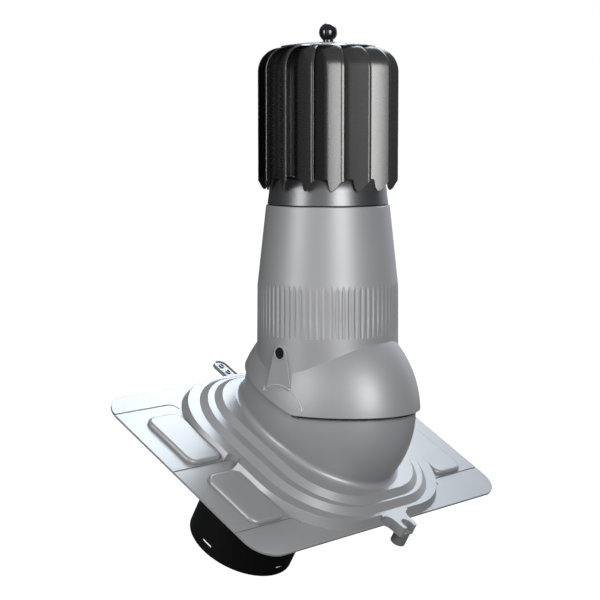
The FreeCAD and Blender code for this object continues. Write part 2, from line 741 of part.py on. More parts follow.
def make_spigot():
    """The black duct spigot with its flange, its own origin on the duct's axis."""
    body = new_body("duct_spigot")
    radius = cell("duct_radius")
    drop = cell("duct_drop")
    flange = new_sketch(body, "flange", offset=flange_low)
    rounded_box(flange, flange_x, flange_y, flange_corner, 0, -duct_y)
    pad(body, flange, cell("flange_thick"), "flange_pad")
    tube = new_sketch(body, "tube", offset=flange_low)
    circle(tube, 0, 0, radius)
    pad(body, tube, flange_low + drop, "tube_pad", backwards=True)
    bore = new_sketch(body, "bore", offset=flange_top)
    circle(bore, 0, 0, radius - cell("duct_wall"))
    for x, y in flange_places():
        circle(bore, x, y - duct_y, cell("flange_boss") / 2 + fit)
    pocket(body, bore, flange_top + drop, "bore_cut")
    slot = new_sketch(body, "slot", "XZ_Plane")
    half = cell("duct_slot_high") / 2
    reach = cell("duct_slot_long") / 2 - half
    middle = cell("duct_slot_up") - drop
    outline(slot, [(-reach, middle - half), (reach, middle - half, half), (reach, middle + half),
                   (-reach, middle + half, half)])
    cut = pocket(body, slot, radius + wall, "slot_cut")
    ring_of(body, cut, cell("duct_slots"), "slots")
    on_roof(body, duct_y)
    return body


def make_seal():
    """The flat rubber ring between the flange and the inner ring's underside."""
    body = new_body("spigot_seal")
    sketch = new_sketch(body, "seal", offset=flange_top)
    width = cell("seal_width")
    rounded_box(sketch, flange_x, flange_y, flange_corner)
    inner_y = flange_y - width * 0.7
    inner_x = flange_x - width
    rounded_box(sketch, inner_x, inner_y, inner_x - cell("flange_boss_side"))
    for x, y in flange_places():
        circle(sketch, x, y, cell("flange_boss") / 2 + fit)
    pad(body, sketch, cell("seal_thick"), "seal_pad")
    on_roof(body)
    return body


def turned_solid(profile):
    """A solid turned about Z from (radius, height) points."""
    points = [FreeCAD.Vector(as_size(r).value, 0, as_size(z).value) for r, z in profile]
    face = Part.Face(Part.makePolygon(points + points[:1]))
    return face.revolve(FreeCAD.Vector(), FreeCAD.Vector(0, 0, 1), 360)


def screw_solid(radius, length, head_radius, head_high):
    """A screw with its head over the origin and its shank below."""
    chamfer = radius / 3
    return turned_solid([(0, -length), (radius - chamfer, -length), (radius, -length + chamfer),
                         (radius, 0), (head_radius, 0), (head_radius, head_high / 2),
                         (head_radius * 0.75, head_high), (0, head_high)])


def feature(name, shape, placement):
    """A computed shape as an object of the document."""
    part = doc.addObject("Part::Feature", name)
    part.Label = name
    part.Shape = shape
    part.Placement = placement
    return part


def roof_placement():
    slope = FreeCAD.Rotation(FreeCAD.Vector(1, 0, 0), roof_pitch.value)
    return FreeCAD.Placement(slope.multVec(FreeCAD.Vector(0, -duct_y.value, 0)), slope)


def pivot_placement(turn=0):
    """The cowl's frame, turned about the stack's axis."""
    return FreeCAD.Placement(FreeCAD.Vector(0, axis_y.value, axis_z.value),
                             FreeCAD.Rotation(FreeCAD.Vector(0, 0, 1), turn))


def make_flange_screws():
    """The flange screws, heads down."""
    screw = screw_solid(cell("flange_screw") / 2, screw_reach + fit - wall / 10,
                        cell("flange_head") / 2, cell("flange_head_high"))
    screw.rotate(FreeCAD.Vector(), FreeCAD.Vector(1, 0, 0), 180)
    solids = []
    for x, y in flange_places():
        solid = screw.copy()
        solid.translate(FreeCAD.Vector(x.value, y.value, flange_low.value))
        solids.append(solid)
    return feature("spigot_screws", Part.makeCompound(solids), roof_placement())


def make_spacer():
    """The round spacer under the front lug."""
    body = new_body("lug_spacer")
    sketch = new_sketch(body, "spacer")
    circle(sketch, 0, lug_hole_y, cell("spacer_radius"))
    circle(sketch, 0, lug_hole_y, cell("lug_hole") / 2)
    tube = pad(body, sketch, cell("spacer_length"), "spacer_pad", backwards=True)
    low = -cell("spacer_length").value
    rim = edges_where(tube, lambda edge: edge.BoundBox.ZMax < low + 1e-3
                      and edge.BoundBox.XMax > cell("lug_hole").value)
    fillet(body, tube, rim, wall / 4, "spacer_rim")
    on_roof(body)
    return body


def cone_radius(z):
    """Outer radius of the casing's cone at a height."""
    fall = (cell("casing_radius") - cell("rim_radius")) / (cell("rim_high") - cell("cone_low"))
    return cell("casing_radius") - fall * (z - cell("cone_low"))


def add_flutes(body):
    """Shallow vertical flutes round the casing that run out on the cone."""
    sketch = new_sketch(body, "flute", "XZ_Plane")
    sketch.AttachmentOffset = FreeCAD.Placement(FreeCAD.Vector(),
                                                FreeCAD.Rotation(FreeCAD.Vector(0, 1, 0), 1))
    bind(sketch, "AttachmentOffset.Rotation.Angle", 180 / cell("flute_count"))
    radius = cell("flute_round")
    middle = cell("casing_radius") + radius - cell("flute_depth")
    tip = radius - cell("flute_depth")
    low = cell("flute_low")
    high = cell("cone_low") + cell("flute_over")
    outline(sketch, [(middle, low), (middle, high), (middle - radius, high),
                     (middle - radius, low + cell("flute_tip")), (middle - tip, low)])
    axis = sketch.addGeometry(Part.LineSegment(FreeCAD.Vector(middle.value, low.value, 0),
                                               FreeCAD.Vector(middle.value, high.value, 0)), True)
    fix_point(sketch, axis, 1, middle, low)
    fix_point(sketch, axis, 2, middle, high)
    ring_of(body, revolve(body, sketch, "flute_cut", "PartDesign::Groove", "Axis0"),
            cell("flute_count"), "flutes")


def add_tabs(body):
    """The flat tab over each lock screw, its face leaning out to the foot."""
    sketch = new_sketch(body, "tab", "YZ_Plane")
    radius = cell("tab_top")
    half = cell("tab_half")
    lean = cell("tab_lean")
    side = radius * cosine(lean)
    shoulder = lock_high + radius * sine(lean)
    outline(sketch, [(half, cell("tab_low")), (half, cell("tab_wide_high")), (side, shoulder, radius),
                     (-side, shoulder), (-half, cell("tab_wide_high")), (-half, cell("tab_low"))])
    pad(body, sketch, tab_foot * 2, "tabs", symmetric=True)
    face_tabs(body, "tab_faces", 0)
    rim = circle(new_sketch(body, "plug_rim", "YZ_Plane"), 0, lock_high, cell("plug_rim"))
    pad(body, rim, tab_foot * 2, "plug_rims", symmetric=True)
    face_tabs(body, "plug_rim_faces", cell("plug_rim_rise"))


def face_tabs(body, name, rise):
    """Cut the tabs off along their leaning faces, or a little way above those."""
    sketch = new_sketch(body, name, "XZ_Plane")
    top = lock_high + cell("tab_top")
    beyond = tab_foot + wall
    for side in (-1, 1):
        outline(sketch, [((cell("tab_face_top") + rise) * side, top), ((tab_foot + rise) * side,
                                                                      cell("tab_low")),
                         (beyond * side, cell("tab_low")), (beyond * side, top)])
    pocket(body, sketch, cell("tab_half") * 2 + wall, name + "_cut", symmetric=True)


def cut_hem(body):
    """Trim the skirt's foot, which rises on the upper side."""
    sketch = new_sketch(body, "hem", "YZ_Plane")
    rise = cell("skirt_rise")
    turn = cell("skirt_hem_round")
    reach = turn * sine(rise / 2) / cosine(rise / 2)
    hem = cell("skirt_hem")
    start = cell("skirt_hem_y")
    beyond = cell("skirt_round") + wall
    low = hem - wall * 3
    slope = sine(rise) / cosine(rise)
    outline(sketch, [(-beyond, low), (beyond, low), (beyond, hem + slope * (beyond - start)),
                     (start + reach * cosine(rise), hem + reach * sine(rise), -turn),
                     (start - reach, hem), (-beyond, hem)])
    pocket(body, sketch, cell("skirt_half") * 2 + wall, "hem_cut", symmetric=True)


def hollow_casing(body):
    """The inside of the skirt and the neck, with the ledge for the bearing spider."""
    ellipsoid(body, "skirt_hollow", cell("skirt_half") - wall, cell("skirt_round") - wall, 0, 0,
              -wall, cell("skirt_round") * 0.75, kind="PartDesign::SubtractiveEllipsoid")
    sketch = new_sketch(body, "neck", "XZ_Plane")
    low = cell("casing_low") - wall * 2
    ledge = cell("ledge_at")
    under = ledge - cell("ledge_thick")
    top = cell("rim_high") + wall
    outline(sketch, [(0, low), (cell("casing_foot") - wall, low),
                     (cell("casing_radius") - wall, cell("cone_low")),
                     (cone_radius(under) - wall, under), (ledge_in, under), (ledge_in, ledge),
                     (cone_radius(ledge) - wall, ledge), (cone_radius(top) - wall, top), (0, top)])
    revolve(body, sketch, "neck_hollow", "PartDesign::Groove")
    pilot = new_sketch(body, "ledge_pilot", offset=ledge + wall)
    circle(pilot, -spider_screw_at, 0, cell("spider_screw") / 2 + cell("run_fit"))
    ring_of(body, pocket(body, pilot, cell("ledge_thick") + wall * 2, "ledge_pilot_cut"),
            cell("spider_arms"), "ledge_pilots")


def add_lock_bosses(body):
    """Bosses inside for the lock screws, kept clear of the dome, and the screws' recesses."""
    boss = circle(new_sketch(body, "lock_boss", "YZ_Plane"), 0, lock_high, cell("lock_boss"))
    pad(body, boss, (cell("tab_face_top") - wall / 2) * 2, "lock_bosses", symmetric=True)
    ellipsoid(body, "dome_room", cell("dome_half") + cell("dome_gap"),
              cell("dome_round") + cell("dome_gap"), 0, 0, 0, cell("dome_round"),
              kind="PartDesign::SubtractiveEllipsoid")
    hole = circle(new_sketch(body, "lock_hole", "YZ_Plane"), 0, lock_high,
                  cell("lock_screw") / 2 + cell("run_fit"))
    pocket(body, hole, tab_foot * 2, "lock_holes", symmetric=True)
    for side, name in SIDES:
        recess = new_sketch(body, name + "_recess", "YZ_Plane", (tab_foot + wall) * side)
        circle(recess, 0, lock_high, cell("plug_radius") + cell("run_fit"))
        pocket(body, recess, tab_foot + wall - recess_floor, name + "_recess_cut", backwards=side < 0)


def make_casing():
    body = new_body("cowl_casing")
    stack = new_sketch(body, "stack", "XZ_Plane")
    outline(stack, [(0, cell("casing_low")), (cell("casing_foot"), cell("casing_low")),
                    (cell("casing_radius"), cell("cone_low")), (cell("rim_radius"), cell("rim_high")),
                    (0, cell("rim_high"))])
    turned = revolve(body, stack, "stack_turned")
    high = cell("rim_high").value
    rim = edges_where(turned, lambda edge: edge.BoundBox.ZMin > high - 1e-3)
    fillet(body, turned, rim, cell("rim_round"), "rim_edge")
    add_tabs(body)
    ellipsoid(body, "skirt", cell("skirt_half"), cell("skirt_round"), 0, 0,
              cell("skirt_hem") - wall * 2, cell("skirt_round") * 0.7)
    cut_hem(body)
    hollow_casing(body)
    add_lock_bosses(body)
    add_flutes(body)
    on_pivot(body)
    return body


def turned(name, corners, x=0, z=0, axis="V_Axis"):
    """A turned piece of the cowl or the rotor."""
    body = new_body(name)
    revolve(body, outline(new_sketch(body, name + "_profile", "XZ_Plane"), corners), name + "_turned",
            axis=axis)
    on_pivot(body, x, 0, z)
    return body


def make_lock_parts(side, name):
    """The lock screw, its clamp shoe inside the dome and the plug over its recess."""
    radius = cell("lock_screw") / 2
    head = cell("lock_head") / 2
    bevel = cell("lock_screw") / 12
    top = recess_floor + cell("lock_head_high")
    end = dome_at_lock - cell("lock_thread")
    screw = turned(name + "_lock_screw", [
        (end * side, 0), (end * side, radius - bevel), ((end + bevel) * side, radius),
        (recess_floor * side, radius), (recess_floor * side, head),
        ((top - bevel) * side, head), (top * side, head - bevel), (top * side, 0)],
        z=lock_high, axis="H_Axis")
    outer = face_at_lock + cell("plug_rim_rise") / 2
    plug = turned(name + "_plug", [
        ((top + fit) * side, 0), ((top + fit) * side, cell("plug_radius")),
        ((outer - bevel) * side, cell("plug_radius")),
        (outer * side, cell("plug_radius") - bevel), (outer * side, 0)],
        z=lock_high, axis="H_Axis")
    return [screw, make_shoe(side, name + "_clamp_shoe"), plug]


def make_shoe(side, name):
    """A block bored for the lock screw, its outer face shaped to the inside of the dome."""
    inner = dome_at_lock - wall - cell("shoe_thick")
    deep = cell("shoe_thick") * 2
    block = doc.addObject("Part::Box", name + "_block")
    bind(block, "Length", deep)
    bind(block, "Width", cell("shoe_wide"))
    bind(block, "Height", cell("shoe_high"))
    on_pivot(block, inner if side > 0 else -inner - deep, -cell("shoe_wide") / 2,
             lock_high - cell("shoe_high") / 2)
    room = doc.addObject("Part::Ellipsoid", name + "_dome")
    bind(room, "Radius1", cell("dome_round") - wall - cell("dome_gap"))
    bind(room, "Radius2", cell("dome_half") - wall - cell("dome_gap"))
    bind(room, "Radius3", cell("dome_round") - wall - cell("dome_gap"))
    on_pivot(room)
    shaped = doc.addObject("Part::Common", name + "_shaped")
    shaped.Base = block
    shaped.Tool = room
    drill = doc.addObject("Part::Cylinder", name + "_drill")
    bind(drill, "Radius", cell("lock_screw") / 2 + cell("run_fit"))
    bind(drill, "Height", tab_foot * 2)
    drill.Placement.Rotation = FreeCAD.Rotation(FreeCAD.Vector(0, 1, 0), 90)
    on_pivot(drill, -tab_foot, 0, lock_high)
    shoe = doc.addObject("Part::Cut", name)
    shoe.Base = shaped
    shoe.Tool = drill
    doc.recompute()
    return shoe


def make_spider():
    """The carrier of the spindle: a ring with three arms and a hub, seated on the ledge."""
    body = new_body("bearing_spider")
    ledge = cell("ledge_at")
    top = cell("rim_high") + cell("rim_lip")
    flange = ledge + cell("spider_flange")
    high = ledge + cell("spider_high")
    ring = new_sketch(body, "ring", "XZ_Plane")
    outline(ring, [(ledge_in, ledge), (cone_radius(flange) - wall - fit, ledge),
                   (cone_radius(flange) - wall - fit, flange), (lip_out, flange), (lip_out, top),
                   (lip_out - cell("spider_wall"), top), (lip_out - cell("spider_wall"), flange),
                   (ledge_in, flange)])
    revolve(body, ring, "ring_turned")
    arm = new_sketch(body, "arm", offset=ledge)
    half = cell("spider_arm") / 2
    reach = lip_out - cell("spider_wall") / 2
    outline(arm, [(0, -half), (reach, -half), (reach, half), (0, half)])
    ring_of(body, pad(body, arm, cell("spider_high"), "arm_pad"), cell("spider_arms"), "arms")
    hub = circle(new_sketch(body, "hub", offset=ledge), 0, 0, cell("spider_hub"))
    pad(body, hub, cell("spider_high"), "hub_pad")
    bore = circle(new_sketch(body, "bore", offset=high), 0, 0, cell("spindle_radius") + cell("run_fit"))
    pocket(body, bore, cell("spider_high"), "bore_cut")
    hole = new_sketch(body, "screw_hole", offset=flange)
    circle(hole, -spider_screw_at, 0, cell("spider_screw") / 2 + cell("run_fit"))
    ring_of(body, pocket(body, hole, cell("spider_flange"), "screw_hole_cut"), cell("spider_arms"),
            "screw_holes")
    on_pivot(body)
    return body


def make_spider_screws():
    """The screws that hold the spider down on the ledge, between its arms."""
    screw = screw_solid(cell("spider_screw") / 2, cell("spider_screw_long"),
                        cell("spider_screw_head") / 2, cell("spider_screw_head") / 3)
    screw.translate(FreeCAD.Vector(-spider_screw_at.value, 0,
                                   (cell("ledge_at") + cell("spider_flange")).value))
    count = int(cell("spider_arms").value)
    solids = []
    for number in range(count):
        solid = screw.copy()
        solid.rotate(FreeCAD.Vector(), FreeCAD.Vector(0, 0, 1), 360 / count * number)
        solids.append(solid)
    return feature("spider_screws", Part.makeCompound(solids), pivot_placement())


def make_spindle_parts():
    """The fixed spindle with its nut, bearings, spacer and retaining ring."""
    radius = cell("spindle_radius")
    bore = radius + cell("run_fit")
    step = cell("spindle_step")
    foot = cell("ledge_at") - cell("nut_high") - fit
    hub_top = cell("ledge_at") + cell("spider_high")
    low = cell("lower_bearing_at")
    high = cell("upper_bearing_at")
    tip = high + cell("bearing_high") + cell("clip_thick") * 3
    bevel = radius / 5
    spindle = turned("spindle", [
        (0, foot), (radius - bevel, foot), (radius, foot + bevel), (radius, hub_top), (step, hub_top),
        (step, low), (radius, low), (radius, tip - bevel), (radius - bevel, tip), (0, tip)])
    bearings = []
    for name, at in (("lower_bearing", low), ("upper_bearing", high)):
        top = at + cell("bearing_high")
        dish = cell("bearing_dish")
        inner = bore + (cell("bearing_radius") - bore) * 0.25
        outer = bore + (cell("bearing_radius") - bore) * 0.75
        bearings.append(turned(name, [
            (bore, at), (inner, at), (inner, at + dish), (outer, at + dish), (outer, at),
            (cell("bearing_radius"), at), (cell("bearing_radius"), top), (outer, top),
            (outer, top - dish), (inner, top - dish), (inner, top), (bore, top)]))
    spacer = turned("bearing_spacer", [(bore, low + cell("bearing_high")),
                                       (step, low + cell("bearing_high")), (step, high), (bore, high)])
    clip = turned("spindle_clip", [
        (bore, high + cell("bearing_high")), (cell("clip_radius"), high + cell("bearing_high")),
        (cell("clip_radius"), high + cell("bearing_high") + cell("clip_thick")),
        (bore, high + cell("bearing_high") + cell("clip_thick"))])
    return [spindle, make_nut(bore)] + bearings + [spacer, clip]


def make_nut(bore):
    """The hexagon nut under the spider's hub."""
    body = new_body("spindle_nut")
    sketch = new_sketch(body, "hexagon", offset=cell("ledge_at"))
    reach = cell("nut_flats") / 2 / cosine(as_size(30))
    outline(sketch, [(reach * cosine(as_size(60 * k)), reach * sine(as_size(60 * k))) for k in range(6)])
    circle(sketch, 0, 0, bore)
    pad(body, sketch, cell("nut_high"), "hexagon_pad", backwards=True)
    on_pivot(body)
    return body


def make_hub():
    """The rotor's bearing tube with its head and its flange under the cap."""
    bore = cell("bearing_radius") + cell("run_fit")
    outer = bore + cell("hub_wall")
    foot = cell("lower_bearing_at") - cell("hub_foot")
    shoulder = cell("upper_bearing_at") + cell("bearing_high") + cell("hub_play")
    room = shoulder + cell("hub_room")
    stud = cell("ball_stud") + cell("run_fit")
    return turned("rotor_hub", [
        (bore, foot), (outer, foot), (outer, hub_top - sheet_metal * 2),
        (cell("hub_flange"), hub_top - sheet_metal * 2), (cell("hub_flange"), hub_top),
        (stud, hub_top), (stud, room), (cell("hub_shoulder"), room),
        (cell("hub_shoulder"), shoulder), (bore, shoulder)])


def make_spokes():
    """The lower star between the hub tube and the collar, welded to both."""
    body = new_body("rotor_spokes")
    low = collar_low + cell("spoke_up")
    thick = cell("spoke_thick")
    fall = (cell("collar_foot") - cell("collar_waist")) / cell("collar_waist_at")
    reach = cell("collar_foot") - fall * cell("spoke_up") - sheet_metal - fit / 2
    half = cell("spoke_width") / 2
    foot = root(reach * reach - half * half)
    top = foot - fall * cell("spoke_tab")
    disc = new_sketch(body, "disc", offset=low)
    circle(disc, 0, 0, cell("spoke_hub"))
    pad(body, disc, thick, "disc_pad")
    spoke = new_sketch(body, "spoke", "XZ_Plane")
    outline(spoke, [(0, low), (foot, low), (top, low + cell("spoke_tab")),
                    (top - thick, low + cell("spoke_tab")), (foot - thick, low + thick), (0, low + thick)])
    width = pad(body, spoke, cell("spoke_width"), "spoke_pad", symmetric=True)
    ring_of(body, width, cell("spoke_count"), "spokes")
    hole = new_sketch(body, "hole", offset=low + thick)
    circle(hole, 0, 0, cell("bearing_radius") + cell("hub_wall") + cell("run_fit") * 2)
    pocket(body, hole, thick, "hole_cut")
    on_pivot(body)
    return body


def make_collar():
    """The rotor's lower ring, curved in to a flange that the blades stand on."""
    waist = collar_low + cell("collar_waist_at")
    curve = cell("collar_high")
    return turned("rotor_collar", [
        (cell("collar_foot") - sheet_metal, collar_low), (cell("collar_foot"), collar_low),
        (cell("collar_waist"), waist, curve), (cell("collar_top"), collar_high),
        (cell("collar_lip"), collar_high), (cell("collar_lip"), collar_high - sheet_metal),
        (cell("collar_top") - sheet_metal / 2, collar_high - sheet_metal, -curve),
        (cell("collar_waist") - sheet_metal, waist)])


def make_cap():
    """The domed top disc with the flat seat for the blades' ends."""
    edge = cell("cap_radius")
    rim = cap_low + cell("cap_edge")
    seat = cell("cap_flat")
    hole = cell("ball_stud") + cell("run_fit")
    return turned("rotor_cap", [
        (edge, cap_low), (edge, rim, cap_curve), (hole, cap_height(hole)),
        (hole, cap_height(hole) - sheet_metal, -cap_curve), (seat, cap_height(seat) - sheet_metal),
        (seat, cap_low)])


def cap_height(radius):
    """Height of the cap's outside at a radius."""
    return cap_top - cap_curve + root(cap_curve * cap_curve - as_size(radius) * radius)


def make_ball():
    """The ball knob with the stud that holds the cap on the hub."""
    radius = cell("ball_radius")
    neck = cell("ball_neck")
    middle = cap_top + cell("ball_at")
    low = middle - root(radius * radius - neck * neck)
    seat = cap_height(0)
    stud = cell("ball_stud")
    return turned("top_ball", [
        (0, seat - cell("stud_long")), (stud, seat - cell("stud_long")), (stud, seat), (neck, seat),
        (neck, low, radius), (radius, middle, radius), (0, middle + radius)])


def polar(radius, angle):
    return FreeCAD.Vector(radius * math.cos(math.radians(angle)),
                          radius * math.sin(math.radians(angle)), 0)


def blade_frame():
    """A blade's inner edge, the way from there to its fold, and the outward side of its panel."""
    inner = polar(cell("blade_inner").value, -cell("blade_sweep").value)
    fold = FreeCAD.Vector((cell("blade_outer") - cell("blade_lip_in")).value,
                          -cell("blade_lip").value, 0)
    run = fold - inner
    return inner, run, FreeCAD.Vector(run.y, -run.x, 0).normalize()


def blade_plan():
    """Points along a blade's plan: the bowed panel, the fold and the lip's free edge."""
    inner, run, outward = blade_frame()
    free = FreeCAD.Vector(cell("blade_outer").value, 0, 0)
    last = 1 - cell("blade_fold").value / run.Length
    shares = [last * k / 4 for k in range(5)]
    panel = [inner + run * share + outward * (4 * cell("blade_bow").value * share * (1 - share))
             for share in shares]
    fold = inner + run
    lip_start = fold + (free - fold).normalize() * cell("blade_fold").value
    bend = [panel[-1] * (1 - share) ** 2 + fold * (2 * share * (1 - share)) + lip_start * share ** 2
            for share in (0.5, 1)]
    return panel + bend + [free]


def inside_plan(plan):
    """The same points one sheet thickness further in."""
    points = []
    for number, point in enumerate(plan):
        way = plan[min(number + 1, len(plan) - 1)] - plan[max(number - 1, 0)]
        points.append(point - FreeCAD.Vector(way.y, -way.x, 0).normalize() * cell("blade_thick").value)
    return points


def blade_rows(plan, drop):
    """One face's points, row by row: the upright part, then drawn in over the shoulder."""
    outer = cell("blade_outer").value - drop
    under = cell("blade_under").value
    low = (collar_high - cell("blade_tip_drop") * 2).value
    rows = [[FreeCAD.Vector(point.x, point.y, low) for point in plan]]
    for step in range(6):
        turn = math.radians(18 * step)
        scale = (under + (outer - under) * math.cos(turn)) / outer
        height = cell("shoulder_at").value + (cell("shoulder_round").value - drop) * math.sin(turn)
        rows.append([FreeCAD.Vector(point.x * scale, point.y * scale, height) for point in plan])
    return rows


def flat_face(*corners):
    return Part.Face(Part.makePolygon(list(corners) + [corners[0]]))


def blade_shape():
    """One formed blade: upright panel with a folded lip, rolled in over the shoulder."""
    plan = blade_plan()
    outer = blade_rows(plan, 0)
    inner = blade_rows(inside_plan(plan), cell("blade_thick").value)
    faces = []
    for rows in (outer, inner):
        for low, high in zip(rows, rows[1:]):
            for k in range(len(plan) - 1):
                faces.append(flat_face(low[k], low[k + 1], high[k + 1], high[k]))
    rims = [([row[edge] for row in outer], [row[edge] for row in inner]) for edge in (0, -1)]
    rims += [(outer[row], inner[row]) for row in (0, -1)]
    for near, far in rims:
        for k in range(len(near) - 1):
            faces.append(flat_face(near[k], far[k], far[k + 1]))
            faces.append(flat_face(near[k], far[k + 1], near[k + 1]))
    shell = Part.makeShell(faces)
    shell.sewShape()
    return Part.makeSolid(shell).cut(foot_tool()).Solids[0]


def foot_tool():
    """What is cut from a blade's foot, so that it clears the collar and ends in a point."""
    inner, run, outward = blade_frame()
    way = run / run.Length
    lean = -inner.dot(way)
    across = cell("blade_outer").value

    def spot(radius, height):
        """A place on the panel at a radius, to one side of it."""
        reach = lean + math.sqrt(radius ** 2 - inner.Length ** 2 + lean ** 2)
        place = inner + way * reach - outward * across / 2
        return FreeCAD.Vector(place.x, place.y, height.value)

    rest = collar_high + cell("blade_gap")
    floor = collar_high - cell("blade_tip_drop") * 3
    lip_foot = collar_high - cell("blade_lip_drop")
    start = inner - way * across / 2 - outward * across / 2
    beyond = across * 1.5
    corners = [FreeCAD.Vector(start.x, start.y, floor.value), FreeCAD.Vector(start.x, start.y, rest.value),
               spot(cell("blade_notch").value, rest),
               spot(cell("blade_tip_radius").value, collar_high - cell("blade_tip_drop")),
               spot((inner + run).Length, lip_foot), spot(beyond, lip_foot), spot(beyond, floor)]
    return flat_face(*corners).extrude(outward * across)


def make_blades():
    """The ring of equal blades."""
    shape = blade_shape()
    count = int(cell("blade_count").value)
    return [feature("rotor_blade_%02d" % (number + 1), shape.copy(),
                    pivot_placement(cell("blade_angle").value + 360 / count * number))
            for number in range(count)]


def write(parts):
    """Check every object of the document and write each sub-part's file."""
    doc.recompute()
    for thing in doc.Objects:
        if "Invalid" in thing.State or "Error" in thing.State:
            raise RuntimeError("%s is not valid: %s" % (thing.Name, thing.State))
    os.makedirs("parts", exist_ok=True)
    for part in parts:
        shape = part.Shape
        if shape.isNull() or not shape.isValid():
            raise RuntimeError(part.Label + " has no valid shape")
        shape.exportStep("parts/%s.step" % part.Label)
        print("%-16s %3d solids %10.1f mm3" % (part.Label, len(shape.Solids), shape.Volume))


SIDES = [(1, "right"), (-1, "left")]
sheet_metal = cell("sheet_metal")
tab_foot = cell("tab_face_low")
tab_fall = (tab_foot - cell("tab_face_top")) / (lock_high + cell("tab_top") - cell("tab_low"))
face_at_lock = cell("tab_face_top") + tab_fall * cell("tab_top")
recess_floor = face_at_lock - cell("lock_recess")
lock_share = lock_high / cell("dome_round")
dome_at_lock = cell("dome_half") * root(1 - lock_share * lock_share)
ledge_in = cone_radius(cell("ledge_at")) - wall - cell("ledge_width")
lip_out = cell("collar_foot") - sheet_metal - cell("rim_lip_gap")
spider_screw_at = lip_out - cell("spider_wall") - cell("spider_screw_head")
collar_low = cell("rim_high") + cell("collar_gap")
collar_high = collar_low + cell("collar_high")
cap_low = cell("shoulder_at") + cell("shoulder_round") + cell("blade_gap")
cap_top = cap_low + cell("cap_edge") + cell("cap_crown")
cap_curve = (cell("cap_radius") * cell("cap_radius") / cell("cap_crown") + cell("cap_crown")) / 2
hub_top = cap_height(cell("hub_flange")) - sheet_metal

PARTS = [make_casing()]
for side, name in SIDES:
    PARTS += make_lock_parts(side, name)
PARTS += [make_spider(), make_spider_screws()] + make_spindle_parts()
PARTS += [make_hub(), make_spokes(), make_collar(), make_cap(), make_ball()] + make_blades()
PARTS += [make_base_plate(), make_spigot(), make_seal(), make_flange_screws(), make_spacer()]
write(PARTS)
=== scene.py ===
"""Roof vent pipe with a turning head: finishes, blades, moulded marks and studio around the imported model."""

import json
import math

import bmesh
import bpy
from bpy.props import FloatProperty, FloatVectorProperty, IntProperty, PointerProperty
from bpy.types import Operator, Panel, PropertyGroup
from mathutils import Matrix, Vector
from mathutils.bvhtree import BVHTree

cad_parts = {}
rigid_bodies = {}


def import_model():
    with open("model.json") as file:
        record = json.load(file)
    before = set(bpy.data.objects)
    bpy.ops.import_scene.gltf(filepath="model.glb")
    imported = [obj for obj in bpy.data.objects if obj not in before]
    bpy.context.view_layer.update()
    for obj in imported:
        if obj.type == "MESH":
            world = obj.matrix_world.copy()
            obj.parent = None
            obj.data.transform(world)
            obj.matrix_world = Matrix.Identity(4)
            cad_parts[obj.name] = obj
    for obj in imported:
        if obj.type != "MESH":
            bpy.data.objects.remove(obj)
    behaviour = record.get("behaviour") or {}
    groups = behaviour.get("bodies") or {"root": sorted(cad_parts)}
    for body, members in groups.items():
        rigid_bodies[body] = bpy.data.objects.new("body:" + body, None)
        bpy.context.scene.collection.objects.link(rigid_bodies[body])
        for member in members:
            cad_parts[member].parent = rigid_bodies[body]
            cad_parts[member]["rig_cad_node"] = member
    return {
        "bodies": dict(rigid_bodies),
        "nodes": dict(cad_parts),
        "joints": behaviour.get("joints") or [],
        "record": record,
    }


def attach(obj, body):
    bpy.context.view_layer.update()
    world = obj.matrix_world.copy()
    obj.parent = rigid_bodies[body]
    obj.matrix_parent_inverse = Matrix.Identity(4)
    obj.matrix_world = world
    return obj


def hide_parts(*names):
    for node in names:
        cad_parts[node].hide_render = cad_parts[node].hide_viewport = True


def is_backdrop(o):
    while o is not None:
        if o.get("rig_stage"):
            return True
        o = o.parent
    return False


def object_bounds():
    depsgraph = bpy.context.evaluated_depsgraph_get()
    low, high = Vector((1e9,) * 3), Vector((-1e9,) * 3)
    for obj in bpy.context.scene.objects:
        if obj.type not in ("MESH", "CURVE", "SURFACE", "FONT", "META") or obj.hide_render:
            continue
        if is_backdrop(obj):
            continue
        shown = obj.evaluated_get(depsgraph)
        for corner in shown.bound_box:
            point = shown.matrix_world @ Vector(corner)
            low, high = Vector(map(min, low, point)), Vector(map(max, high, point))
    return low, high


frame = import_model()

bl_info = {
    "name": "Roof Vent Pipe",
    "version": (1, 0, 0),
    "blender": (4, 5, 0),
    "location": "View3D > Sidebar > Vent",
    "description": "Builds the blades, moulded marks, finishes and studio of a roof vent pipe",
    "category": "Object",
}

NODES = frame["nodes"]
JOINTS = {joint["name"]: joint for joint in frame["joints"]}
PIVOT = Vector(JOINTS["cowl_tilt"]["pos_m"])
MM = 0.001

# Sockets of the colour mix node
MIX_FACTOR = 0
MIX_BELOW = 6
MIX_ABOVE = 7
MIX_RESULT = 2

# Samples of the masks for edge wear with its painted highlight, and for the painted shade in shut-in places
EDGE_SAMPLES = 6
GAP_SAMPLES = 8

# How strongly edge wear with its painted highlight shows, and how much lighter dust, and the raised marks with
# their painted highlight, are than their plastic
PLASTIC_WEAR_AND_HIGHLIGHT = 0.45
METAL_WEAR_AND_HIGHLIGHT = 0.8
DUST_LIFT = 1.35
MARK_HIGHLIGHT_LIFT = 1.75

# How far roughness strays either way, and how deep the grain is in metres
PLASTIC_STRAY = 0.025
METAL_STRAY = 0.04
PLASTIC_GRAIN = 0.00005
METAL_GRAIN = 0.00004
RUBBER_GRAIN = 0.0001
COAT_ROUGHNESS = 0.12

# Colours that aren't among the settings
SEAL_COLOUR = (0.03, 0.03, 0.031)
ZINC_COLOUR = (0.56, 0.57, 0.6)
BEARING_COLOUR = (0.62, 0.62, 0.64)
BALL_COLOUR = (0.006, 0.006, 0.007)

# Where the painted shade under the hem lies from the tilt axis, in metres, and how deep the shade painted into
# shut-in places is
GAP_ABOVE = -0.035
GAP_IN_FRONT = -0.02
GAP_REACH = 0.012
GAP_SHUT = 0.8
GAP_OPEN = 0.88
GROOVE_SHADE_STRENGTH = 0.6
GAP_SHADE = 0.03

